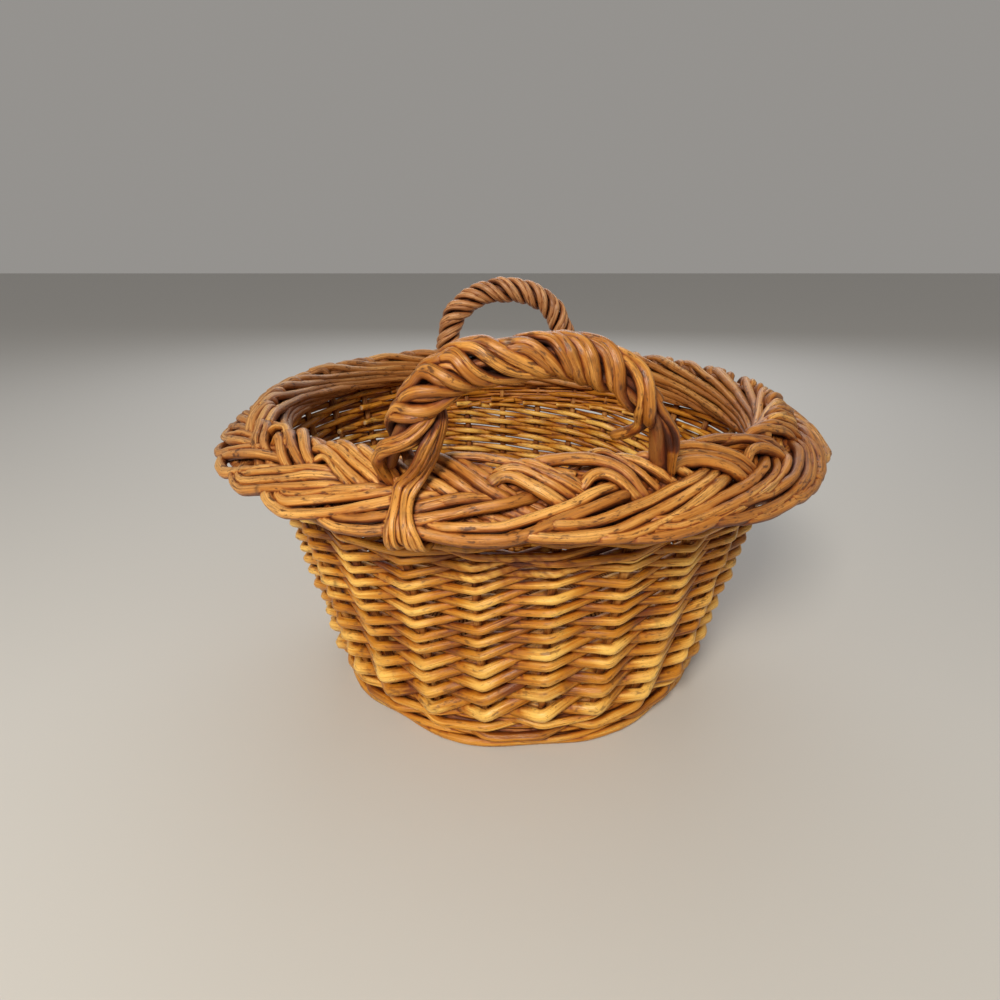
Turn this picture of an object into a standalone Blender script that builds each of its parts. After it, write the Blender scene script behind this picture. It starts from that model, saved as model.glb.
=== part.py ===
"""Onion basket: a round willow basket with a woven base, flaring open sides,
a plaited border and two rope-twisted handles.

Metres, +Z up.  The origin is on the floor, under the middle of the basket.
The front handle is on the -Y side and the back handle on the +Y side.
"""

import math

import bmesh
import bpy
from mathutils import Vector

# ---------------------------------------------------------------- dimensions
N_STAKES = 28            # upright rods round the wall
N_SPOKES = 14            # ends of the seven base sticks
STAKE_R = 0.0025         # radius of a stake and of a base stick
WALL_TOP = 0.184         # height where the wall meets the border
R_WALL_BASE = 0.1299     # radius of the ring of stakes at the floor
R_WALL_FLARE = 0.0440    # how much that radius grows up to WALL_TOP
R_WALL_BULGE = 0.0018    # slight belly half way up
STAKE_TOP = 0.1865
STAKE_PHASE = 0.078      # angle of the first stake right of the front
STAKE_CROWD = 0.08       # stakes stand closer at the back than at the front

WEAVE_T = 0.0030         # thickness of a course of side weave
WEAVE_LOW, WEAVE_HIGH = 0.0265, 0.1660
N_COURSES = 8
WALE_T = 0.0040
GAP = 0.0006

FOOT_R_IN, FOOT_R_OUT, FOOT_H = 0.1210, 0.1350, 0.0055
BASE_LEVEL = 0.0090      # height of the base sticks outside the crossing
BASE_RINGS = (           # name, inner radius, outer radius, clearance
    ("base_weave_inner", 0.0370, 0.0620, 0.0010),
    ("base_weave_middle", 0.0632, 0.0890, 0.0007),
    ("base_weave_outer", 0.0904, 0.1165, 0.0006),
)

BORDER_R, BORDER_Z = 0.1862, 0.1915   # middle of the plait's section
BORDER_ACROSS = (-0.774, 0.633)       # across the plait: inward and up (R, z)
BORDER_NORMAL = (0.633, 0.774)        # out of its upper face (R, z)
BORDER_CYCLES = 16
BORDER_SWING = 0.0155                 # how far a strand swings to each side
BORDER_LIFT = 0.0048                  # how far it rises and dives
STRAND_A, STRAND_B = 0.0048, 0.0026   # half width and half thickness

HANDLE_R = 0.1885        # radius of the ring on which the feet stand
HANDLE_HALF = 0.0570     # half distance between the feet
HANDLE_FOOT_Z = 0.2130
HANDLE_TOP_Z = 0.2586    # centre of the rope at the top of the arch
BOW_R = 0.0030
WRAP_R = 0.0040
WRAP_TURNS = 5
BACK_TURN = 0.048        # the back handle stands a little to the left

# ---------------------------------------------------------------- clean start
for ob in list(bpy.data.objects):
    bpy.data.objects.remove(ob, do_unlink=True)


def willow(name, colour, roughness):
    mat = bpy.data.materials.new(name)
    mat.use_nodes = True
    shader = mat.node_tree.nodes["Principled BSDF"]
    shader.inputs["Base Color"].default_value = (*colour, 1.0)
    shader.inputs["Roughness"].default_value = roughness
    shader.inputs["Metallic"].default_value = 0.0
    mat.diffuse_color = (*colour, 1.0)
    return mat


MAT = {
    "stake": willow("willow_stake", (0.36, 0.22, 0.10), 0.55),
    "weave": willow("willow_weave", (0.40, 0.23, 0.09), 0.50),
    "wale": willow("willow_wale", (0.34, 0.18, 0.07), 0.50),
    "border": willow("willow_border", (0.52, 0.31, 0.12), 0.42),
    "base": willow("willow_base", (0.33, 0.21, 0.11), 0.60),
    "bow": willow("willow_bow", (0.30, 0.17, 0.08), 0.55),
    "wrap": willow("willow_wrap", (0.47, 0.26, 0.10), 0.45),
}


def put(name, mesh, mat):
    ob = bpy.data.objects.new(name, mesh)
    bpy.context.scene.collection.objects.link(ob)
    mesh.materials.clear()
    mesh.materials.append(MAT[mat])
    return ob


def polar(angle, radius, z):
    """Angle 0 is the front (-Y); it grows towards +X."""
    return Vector((radius * math.sin(angle), -radius * math.cos(angle), z))


def stake_angle(k):
    u = 2 * math.pi * k / N_STAKES + STAKE_PHASE
    return u + STAKE_CROWD * math.sin(u)


def wall_radius(z):
    s = z / WALL_TOP
    return (
        R_WALL_BASE
        + R_WALL_FLARE * s
        + R_WALL_BULGE * math.sin(math.pi * min(max(s, 0.0), 1.0))
    )


def sweep(name, sections, mat, closed=True, smooth=False):
    """A solid through a list of sections, each a list of corners."""
    bm = bmesh.new()
    rings = [[bm.verts.new(p) for p in section] for section in sections]
    n, m = len(rings), len(rings[0])
    for i in range(n if closed else n - 1):
        a, b = rings[i], rings[(i + 1) % n]
        for j in range(m):
            bm.faces.new((a[j], a[(j + 1) % m], b[(j + 1) % m], b[j]))
    if not closed:
        bm.faces.new(list(reversed(rings[0])))
        bm.faces.new(rings[-1])
    bmesh.ops.recalc_face_normals(bm, faces=bm.faces)
    if bm.calc_volume(signed=True) < 0:
        bmesh.ops.reverse_faces(bm, faces=bm.faces)
    mesh = bpy.data.meshes.new(name)
    bm.to_mesh(mesh)
    bm.free()
    ob = put(name, mesh, mat)
    if smooth:
        mesh.shade_smooth()
        mesh.set_sharp_from_angle(angle=math.radians(62))
    return ob


def rod(name, points, radius, mat, sides=1):
    """A round rod with flat ends along a chain of points."""
    curve = bpy.data.curves.new(name, "CURVE")
    curve.dimensions = "3D"
    curve.twist_mode = "MINIMUM"
    curve.bevel_depth = radius
    curve.bevel_resolution = sides
    curve.use_fill_caps = True
    spline = curve.splines.new("POLY")
    spline.points.add(len(points) - 1)
    for point, co in zip(spline.points, points):
        point.co = (*co, 1.0)
    holder = bpy.data.objects.new(name, curve)
    bpy.context.scene.collection.objects.link(holder)
    mesh = bpy.data.meshes.new_from_object(
        holder.evaluated_get(bpy.context.evaluated_depsgraph_get())
    )
    bpy.data.objects.remove(holder, do_unlink=True)
    bpy.data.curves.remove(curve)
    bm = bmesh.new()
    bm.from_mesh(mesh)
    bmesh.ops.remove_doubles(bm, verts=bm.verts, dist=0.00002)
    bmesh.ops.recalc_face_normals(bm, faces=bm.faces)
    if bm.calc_volume(signed=True) < 0:
        bmesh.ops.reverse_faces(bm, faces=bm.faces)
    bm.to_mesh(mesh)
    bm.free()
    mesh.name = name
    mesh.shade_smooth()
    mesh.set_sharp_from_angle(angle=math.radians(65))
    return put(name, mesh, mat)


# ---------------------------------------------------------------- base sticks
def base_stick(name, axis, offset, end_angle, level):
    """Level over the crossing, then fanned out to its own spoke."""
    half = []
    cross = 0.0125
    c, s = math.cos(end_angle), math.sin(end_angle)
    half.append((cross, offset, level))
    half.append((0.0345 * c, 0.0345 * s, BASE_LEVEL))
    half.append((0.1180 * c, 0.1180 * s, BASE_LEVEL))
    chain = [(-x, y, z) for x, y, z in reversed(half)] + half
    if axis == "y":
        chain = [(-y, x, z) for x, y, z in chain]
    return rod(name, [Vector(p) for p in chain], STAKE_R, "base")


step = 2 * math.pi / N_SPOKES
for i in range(4):
    base_stick(
        f"base_stick_long_{i + 1}", "x", 0.0060 * (i - 1.5), step * (i - 1.5), 0.0064
    )
for i in range(3):
    base_stick(
        f"base_stick_cross_{i + 1}", "y", 0.0062 * (i - 1), step * (i - 1), 0.0120
    )

# ------------------------------------------------- woven rounds of the base
for number, (name, r_in, r_out, clear) in enumerate(BASE_RINGS):
    sections = []
    for k in range(N_SPOKES):
        side = 1 if (k + number) % 2 else -1
        z = BASE_LEVEL + side * (STAKE_R + 0.0015 + clear)
        angle = math.pi / 2 + step * (k + 0.5)
        sections.append(
            [
                polar(angle, r, z + h)
                for r, h in (
                    (r_in, -0.0015),
                    (r_out, -0.0015),
                    (r_out, 0.0015),
                    (r_in, 0.0015),
                )
            ]
        )
    sweep(name, sections, "base")

# -------------------------------------------------- foot round under the wall
sweep(
    "foot_wale",
    [
        [
            polar(stake_angle(k), r, z)
            for r, z in (
                (FOOT_R_IN, 0.0),
                (FOOT_R_OUT - 0.0015, 0.0),
                (FOOT_R_OUT, 0.0020),
                (FOOT_R_OUT, FOOT_H),
                (FOOT_R_IN, FOOT_H),
            )
        ]
        for k in range(N_STAKES)
    ],
    "wale",
)

# --------------------------------------------------------------------- stakes
for k in range(N_STAKES):
    angle = stake_angle(k)
    path = [(0.1206, 0.0086), (0.1288, 0.0088), (wall_radius(0.0140), 0.0140)]
    rises = 4
    for i in range(1, rises + 1):
        z = 0.0140 + (STAKE_TOP - 0.0140) * i / rises
        path.append((wall_radius(z), z))
    rod(f"stake_{k + 1:02d}", [polar(angle, r, z) for r, z in path], STAKE_R, "stake")


# ---------------------------------------------------- rounds of weave and wale
def round_of_weave(name, low, high, thick, side_of, mat):
    """A band that runs outside the stakes where side_of gives 1, else inside."""
    away = STAKE_R + thick / 2 + GAP
    sections = []
    for k in range(N_STAKES):
        section = []
        for half, z in (
            (-thick / 2, low),
            (thick / 2, low),
            (thick / 2, high),
            (-thick / 2, high),
        ):
            section.append(
                polar(stake_angle(k), wall_radius(z) + side_of(k) * away + half, z)
            )
        sections.append(section)
    return sweep(name, sections, mat)


def waled(phase):
    """In front of two stakes and behind the third."""
    return lambda k: -1 if (k + phase) % 3 == 0 else 1


round_of_weave("upsett_wale_lower", 0.0142, 0.0200, WALE_T, waled(0), "wale")
round_of_weave("upsett_wale_upper", 0.0205, 0.0261, WALE_T, waled(1), "wale")
pitch = (WEAVE_HIGH - WEAVE_LOW) / N_COURSES
for j in range(N_COURSES):
    low = WEAVE_LOW + pitch * j
    round_of_weave(
        f"side_weave_{j + 1}",
        low,
        low + pitch - 0.0005,
        WEAVE_T,
        lambda k, j=j: 1 if (k + j) % 2 else -1,
        "weave",
    )
round_of_weave("top_wale", WEAVE_HIGH + 0.0004, 0.1815, WALE_T, waled(2), "wale")


# ------------------------------------------------------------- plaited border
def plait_point(i):
    """Across and lift at step i: eight steps to a full swing of the strand.
    From either edge the strand lies on top as far as the middle, then below."""
    phi = math.pi / 4 * (i + 0.5)
    return BORDER_SWING * math.sin(phi), -math.copysign(BORDER_LIFT, math.sin(2 * phi))


def border_place(t, across, lift):
    return polar(
        t,
        BORDER_R + across * BORDER_ACROSS[0] + lift * BORDER_NORMAL[0],
        BORDER_Z + across * BORDER_ACROSS[1] + lift * BORDER_NORMAL[1],
    )


for strand in range(3):
    sections = []
    for i in range(BORDER_CYCLES * 8):
        t = (math.pi / 4 * (i + 0.5) - 2 * math.pi * strand / 3) / BORDER_CYCLES
        u, w = plait_point(i)
        du = plait_point(i + 1)[0] - plait_point(i - 1)[0]
        ds = BORDER_R * math.pi / 2 / BORDER_CYCLES
        # unit vector across the strand, in the plait's own plane
        length = math.hypot(ds, du)
        ax, ay = -du / length, ds / length
        sections.append(
            [
                border_place(t + a * ax / BORDER_R, u + a * ay, w + b)
                for a, b in (
                    (-STRAND_A, -STRAND_B),
                    (STRAND_A, -STRAND_B),
                    (STRAND_A, STRAND_B),
                    (-STRAND_A, STRAND_B),
                )
            ]
        )
    sweep(f"border_strand_{strand + 1}", sections, "border")


# -------------------------------------------------------------------- handles
def arch(v):
    """Centre of the rope on the arch, v from 0 to 1: along the rim and up."""
    a = math.pi * (1 - v)
    return (
        HANDLE_HALF * math.cos(a),
        HANDLE_FOOT_Z + (HANDLE_TOP_Z - HANDLE_FOOT_Z) * math.sin(a),
    )


FOOT_ANGLE = math.asin(HANDLE_HALF / HANDLE_R)
PLANE_Y = HANDLE_R * math.cos(FOOT_ANGLE)


def handle(prefix, turn):
    outward = Vector((math.sin(turn), -math.cos(turn), 0.0))
    along = Vector((math.cos(turn), math.sin(turn), 0.0))

    def place(x, y, z):
        return outward * y + along * x + Vector((0, 0, z))

    steps = 14
    core = []
    for i in range(steps + 1):
        x, z = arch(i / steps)
        core.append(place(x, PLANE_Y, z))
    drop = 0.0050
    core = (
        [core[0] - Vector((0, 0, drop))] + core + [core[-1] - Vector((0, 0, drop))]
    )
    rod(f"{prefix}_handle_bow", core, BOW_R, "bow")

    reach = BOW_R + WRAP_R + 0.0005
    outer_foot = (
        (0.2070, 0.1980),
        (0.2114, 0.1862),
        (0.2085, 0.1752),
        (0.1995, 0.1685),
        (0.1900, 0.1690),
    )
    inner_foot = (
        (0.1725, 0.2170),
        (0.1650, 0.2115),
        (0.1620, 0.2030),
        (0.1620, 0.1930),
        (0.1612, 0.1800),
    )
    for label, phase, foot in (
        ("outer", 0.0, outer_foot),
        ("inner", math.pi, inner_foot),
    ):
        coil = []
        n = WRAP_TURNS * 8
        for i in range(n + 1):
            v = i / n
            x, z = arch(v)
            x1, z1 = arch(min(v + 0.01, 1.0))
            x0, z0 = arch(max(v - 0.01, 0.0))
            run = math.hypot(x1 - x0, z1 - z0)
            nx, nz = -(z1 - z0) / run, (x1 - x0) / run
            turnv = phase + 2 * math.pi * WRAP_TURNS * v
            coil.append(
                place(
                    x + nx * reach * math.sin(turnv),
                    PLANE_Y + reach * math.cos(turnv),
                    z + nz * reach * math.sin(turnv),
                )
            )
        left = [polar(turn - FOOT_ANGLE, r, z) for r, z in reversed(foot)]
        right = [polar(turn + FOOT_ANGLE, r, z) for r, z in foot]
        rod(f"{prefix}_handle_wrap_{label}", left + coil + right, WRAP_R, "wrap")


handle("front", 0.0)
handle("back", math.pi + BACK_TURN)
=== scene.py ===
"""Looks of the onion basket, built rod by rod from willow, all on one body.

Metres, +Z up.  Angle 0 is the front (-Y) and grows towards +X.  The rods are
laid round the same stakes, wall, border and handles as the fixed frame.
"""

import math

import bpy
import numpy as np
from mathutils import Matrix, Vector
from mathutils.bvhtree import BVHTree


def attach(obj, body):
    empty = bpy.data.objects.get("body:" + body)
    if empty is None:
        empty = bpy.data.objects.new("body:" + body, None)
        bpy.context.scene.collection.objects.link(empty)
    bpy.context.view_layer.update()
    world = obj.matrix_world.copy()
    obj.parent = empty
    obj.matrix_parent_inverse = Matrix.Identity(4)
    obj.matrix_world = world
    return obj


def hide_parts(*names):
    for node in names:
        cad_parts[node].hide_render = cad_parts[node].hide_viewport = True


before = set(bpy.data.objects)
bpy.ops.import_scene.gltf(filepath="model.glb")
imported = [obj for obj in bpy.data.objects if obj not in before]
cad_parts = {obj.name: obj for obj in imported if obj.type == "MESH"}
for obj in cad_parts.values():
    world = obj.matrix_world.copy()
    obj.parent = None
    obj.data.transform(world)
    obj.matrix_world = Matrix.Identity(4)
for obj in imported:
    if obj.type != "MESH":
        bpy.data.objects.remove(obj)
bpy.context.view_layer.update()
rng = np.random.default_rng(28)
TAU = 2 * math.pi

# ---------------------------------------------------------------- dimensions
N_STAKES = 28
STAKE_R = 0.0025
WALL_TOP = 0.184
BORDER_R, BORDER_Z = 0.1862, 0.1915
ACROSS = np.array((-0.774, 0.633))    # across the plait: inward and up (R, z)
NORMAL = np.array((0.633, 0.774))     # out of its upper face (R, z)
PLANE_Y = 0.1797                      # distance of a handle's arch from the axis
BACK_TURN = 0.048


def polar(angle, radius, z):
    angle, radius, z = np.broadcast_arrays(
        np.asarray(angle, float), np.asarray(radius, float), np.asarray(z, float)
    )
    return np.stack((radius * np.sin(angle), -radius * np.cos(angle), z), -1)


def stake_angle(k):
    u = TAU * np.asarray(k, float) / N_STAKES + 0.078
    return u + 0.08 * np.sin(u)


def wall_radius(z):
    s = np.asarray(z, float) / WALL_TOP
    return 0.1287 + 0.0440 * s + 0.0018 * np.sin(np.pi * np.clip(s, 0, 1))


def drift(n, every, size):
    """A smooth random line of n values, one random knot each `every` values."""
    m = max(int(n / every), 1) + 4
    knots = rng.normal(0, 1, m)
    x = np.linspace(1, m - 3, n)
    i = np.floor(x).astype(int)
    f = x - i
    f = f * f * (3 - 2 * f)
    return size * (knots[i] * (1 - f) + knots[i + 1] * f)


def blurred(values, sigma):
    if sigma <= 0.3:
        return values
    half = int(3 * sigma) + 1
    kernel = np.exp(-0.5 * (np.arange(-half, half + 1) / sigma) ** 2)
    kernel /= kernel.sum()
    padded = np.concatenate(
        (
            np.repeat(values[:1], half, 0),
            values,
            np.repeat(values[-1:], half, 0),
        )
    )
    if values.ndim == 1:
        return np.convolve(padded, kernel, "valid")
    return np.stack(
        [np.convolve(padded[:, c], kernel, "valid") for c in range(values.shape[1])], 1
    )


# ----------------------------------------------------------------- materials
def link(tree, a, b):
    tree.links.new(a, b)


def willow(name, light, mid, dark, rough=0.42, speckle=0.6, spec=0.5, groove_shade=0.3):
    mat = bpy.data.materials.new(name)
    mat.use_nodes = True
    tree = mat.node_tree
    shader = tree.nodes["Principled BSDF"]
    shader.inputs["Metallic"].default_value = 0.0
    shader.inputs["Specular IOR Level"].default_value = spec

    def node(kind, **sets):
        made = tree.nodes.new(kind)
        for key, value in sets.items():
            setattr(made, key, value)
        return made

    def math_node(op, a, b=None, clamp=False):
        made = node("ShaderNodeMath", operation=op, use_clamp=clamp)
        for slot, value in zip(made.inputs, (a, b)):
            if value is None:
                continue
            if isinstance(value, (int, float)):
                slot.default_value = value
            else:
                link(tree, value, slot)
        return made.outputs[0]

    def mix(fac, a, b):
        made = node("ShaderNodeMix", data_type="RGBA")
        if isinstance(fac, (int, float)):
            made.inputs[0].default_value = fac
        else:
            link(tree, fac, made.inputs[0])
        for slot, value in ((made.inputs[6], a), (made.inputs[7], b)):
            if isinstance(value, tuple):
                slot.default_value = (*value, 1.0)
            else:
                link(tree, value, slot)
        return made.outputs[2]

    grain = node("ShaderNodeAttribute", attribute_name="grain")
    info = node("ShaderNodeAttribute", attribute_name="info")
    wear = node("ShaderNodeAttribute", attribute_name="wear")
    tone, knot, cut = (lambda s: s.outputs)(
        (lambda s: (link(tree, info.outputs["Vector"], s.inputs[0]), s)[1])(
            node("ShaderNodeSeparateXYZ")
        )
    )
    age, shade_and_stain, red = (lambda s: s.outputs)(
        (lambda s: (link(tree, wear.outputs["Vector"], s.inputs[0]), s)[1])(
            node("ShaderNodeSeparateXYZ")
        )
    )

    def noise(stretch, detail, roughness):
        scale = node("ShaderNodeVectorMath", operation="MULTIPLY")
        link(tree, grain.outputs["Vector"], scale.inputs[0])
        scale.inputs[1].default_value = stretch
        made = node("ShaderNodeTexNoise")
        made.inputs["Scale"].default_value = 1.0
        made.inputs["Detail"].default_value = detail
        made.inputs["Roughness"].default_value = roughness
        link(tree, scale.outputs[0], made.inputs["Vector"])
        return made.outputs[0]

    def ramp(value, low, high):
        made = node("ShaderNodeMapRange", interpolation_type="SMOOTHSTEP")
        link(tree, value, made.inputs["Value"])
        made.inputs["From Min"].default_value = low
        made.inputs["From Max"].default_value = high
        return made.outputs[0]

    streak = noise((26.0, 1000.0, 1000.0), 3.0, 0.6)
    fibre = noise((90.0, 3400.0, 3400.0), 2.0, 0.6)
    blotch = noise((22.0, 90.0, 90.0), 3.0, 0.6)
    spots = noise((190.0, 560.0, 560.0), 2.0, 0.55)
    patch = noise((34.0, 240.0, 240.0), 2.0, 0.5)
    crease = noise((14.0, 560.0, 560.0), 1.0, 0.4)

    body = math_node(
        "ADD", math_node("MULTIPLY", streak, 0.55), math_node("MULTIPLY", blotch, 0.6)
    )
    # the tone also carries painted highlight and shade, laid on per vertex
    body = math_node("ADD", body, math_node("MULTIPLY", tone, 0.24))
    body = math_node("SUBTRACT", body, 0.20)
    low = ramp(body, 0.22, 0.52)
    high = ramp(body, 0.48, 0.78)
    colour = mix(low, dark, mid)
    colour = mix(high, colour, light)
    # red-brown patches of old bark
    red_part = math_node("MULTIPLY", ramp(patch, 0.52, 0.70), red, clamp=True)
    colour = mix(red_part, colour, (0.23, 0.055, 0.014))
    # thin creases of the dried skin, bumped in below and painted dark: painted shade in the creases
    line = math_node("SUBTRACT", 1.0, ramp(math_node("ABSOLUTE", math_node("SUBTRACT", crease, 0.5)), 0.0, 0.035))
    line = math_node("MULTIPLY", line, math_node("MULTIPLY", ramp(blotch, 0.35, 0.60), groove_shade), clamp=True)
    colour = mix(line, colour, (0.085, 0.024, 0.006))
    # greyed, weathered skin
    grey = mix(ramp(streak, 0.35, 0.65), (0.23, 0.115, 0.050), (0.50, 0.310, 0.165))
    aged = math_node(
        "MULTIPLY", math_node("ADD", 0.45, math_node("MULTIPLY", blotch, 1.1)), age, clamp=True
    )
    colour = mix(aged, colour, grey)
    # soft brown mottling
    mottle = math_node("MULTIPLY", ramp(patch, 0.40, 0.60), 0.45 * speckle)
    mottle = math_node("MULTIPLY", ramp(spots, 0.46, 0.62), mottle, clamp=True)
    colour = mix(mottle, colour, (0.20, 0.062, 0.012))
    # dark specks and short dashes
    fine = noise((520.0, 1500.0, 1500.0), 2.0, 0.6)
    speck = math_node(
        "MULTIPLY", ramp(spots, 0.585, 0.67), ramp(patch, 0.34, 0.54), clamp=True
    )
    tiny = math_node("MULTIPLY", ramp(fine, 0.60, 0.68), ramp(blotch, 0.40, 0.58), clamp=True)
    speck = math_node("MAXIMUM", speck, math_node("MULTIPLY", tiny, 0.8))
    speck = math_node("MULTIPLY", speck, speckle)
    colour = mix(speck, colour, (0.075, 0.025, 0.008))
    # leaf scars
    colour = mix(math_node("MULTIPLY", knot, 0.75, clamp=True), colour, (0.07, 0.025, 0.010))
    # cut ends
    pith = mix(ramp(spots, 0.42, 0.6), (0.33, 0.19, 0.085), (0.50, 0.33, 0.17))
    colour = mix(cut, colour, pith)
    # painted shade in the crevices and between the rods, traced after the build, with the real stain added: first
    # reddened, then darkened
    shade_reddening = node("ShaderNodeMix", data_type="RGBA", blend_type="MULTIPLY")
    link(tree, math_node("MULTIPLY", shade_and_stain, 1.6, clamp=True), shade_reddening.inputs[0])
    link(tree, colour, shade_reddening.inputs[6])
    shade_reddening.inputs[7].default_value = (0.86, 0.50, 0.20, 1.0)
    colour = shade_reddening.outputs[2]
    deep_shade_and_stain = math_node("POWER", shade_and_stain, 1.25)
    deep_shade_and_stain = math_node("MULTIPLY", deep_shade_and_stain, 0.93, clamp=True)
    colour = mix(deep_shade_and_stain, colour, (0.038, 0.0068, 0.0006))
    link(tree, colour, shader.inputs["Base Color"])

    gloss = math_node("MULTIPLY", fibre, 0.22)
    gloss = math_node("ADD", gloss, rough - 0.08)
    gloss = math_node("ADD", gloss, math_node("MULTIPLY", age, 0.20))
    gloss = math_node("ADD", gloss, math_node("MULTIPLY", shade_and_stain, 0.25), clamp=True)
    link(tree, gloss, shader.inputs["Roughness"])

    height = math_node(
        "ADD", math_node("MULTIPLY", streak, 0.7), math_node("MULTIPLY", fibre, 0.25)
    )
    height = math_node("ADD", height, math_node("MULTIPLY", blotch, 0.7))
    height = math_node("ADD", height, math_node("MULTIPLY", patch, 0.5))
    height = math_node("SUBTRACT", height, math_node("MULTIPLY", speck, 0.15))
    height = math_node("SUBTRACT", height, math_node("MULTIPLY", line, 0.45))
    bump = node("ShaderNodeBump")
    bump.inputs["Strength"].default_value = 0.70
    bump.inputs["Distance"].default_value = 0.0009
    link(tree, height, bump.inputs["Height"])
    link(tree, bump.outputs[0], shader.inputs["Normal"])
    return mat


MAT = {
    "weave": willow(
        "weaver_skin", (0.94, 0.56, 0.125), (0.56, 0.215, 0.014), (0.17, 0.036, 0.002), 0.32, 0.5, 0.40, 0.15
    ),
    "wale": willow(
        "wale_skin", (0.95, 0.58, 0.135), (0.62, 0.245, 0.019), (0.19, 0.042, 0.003), 0.32, 0.5, 0.40, 0.2
    ),
    "stake": willow(
        "stake_skin", (0.76, 0.44, 0.12), (0.52, 0.23, 0.036), (0.17, 0.045, 0.005), 0.48, 0.5, 0.35, 0.1
    ),
    "border": willow(
        "border_skin", (0.86, 0.445, 0.105), (0.52, 0.192, 0.022), (0.13, 0.029, 0.003), 0.34, 0.8, 0.42, 0.60
    ),
    "base": willow(
        "base_skin", (0.76, 0.44, 0.13), (0.50, 0.225, 0.050), (0.18, 0.052, 0.008), 0.48, 0.4
    ),
    "bow": willow(
        "bow_skin", (0.44, 0.190, 0.048), (0.28, 0.098, 0.020), (0.11, 0.028, 0.006), 0.38, 0.4
    ),
    "wrap": willow(
        "wrap_skin", (0.70, 0.325, 0.064), (0.36, 0.120, 0.012), (0.10, 0.021, 0.002), 0.32, 0.8, 0.45, 0.8
    ),
    "far_wrap": willow(
        "far_wrap_skin", (0.90, 0.460, 0.185), (0.57, 0.225, 0.070), (0.18, 0.050, 0.012), 0.33, 0.6, 0.5, 0.5
    ),
}


# ------------------------------------------------------------------ the rods
def even(P, step, ends=0.0007):
    d = np.concatenate(((0.0,), np.cumsum(np.linalg.norm(np.diff(P, axis=0), axis=1))))
    n = max(int(d[-1] / step), 4) + 1
    s = np.linspace(0, d[-1], n)
    s = np.concatenate((s[:1], (ends,), s[1:-1], (s[-1] - ends,), s[-1:]))
    return np.stack([np.interp(s, d, P[:, c]) for c in range(3)], 1), s


def carried_frames(P):
    T = np.gradient(P, axis=0)
    T /= np.maximum(np.linalg.norm(T, axis=1, keepdims=True), 1e-12)
    first = np.cross(T[0], (0.0, 0.0, 1.0))
    if np.linalg.norm(first) < 0.1:
        first = np.cross(T[0], (1.0, 0.0, 0.0))
    nx, ny, nz = (first / np.linalg.norm(first)).tolist()
    N = np.empty_like(P)
    for i, (tx, ty, tz) in enumerate(T.tolist()):
        d = nx * tx + ny * ty + nz * tz
        nx, ny, nz = nx - d * tx, ny - d * ty, nz - d * tz
        m = math.sqrt(nx * nx + ny * ny + nz * nz) or 1.0
        nx, ny, nz = nx / m, ny / m, nz / m
        N[i] = (nx, ny, nz)
    return T, N, np.cross(T, N)


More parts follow.
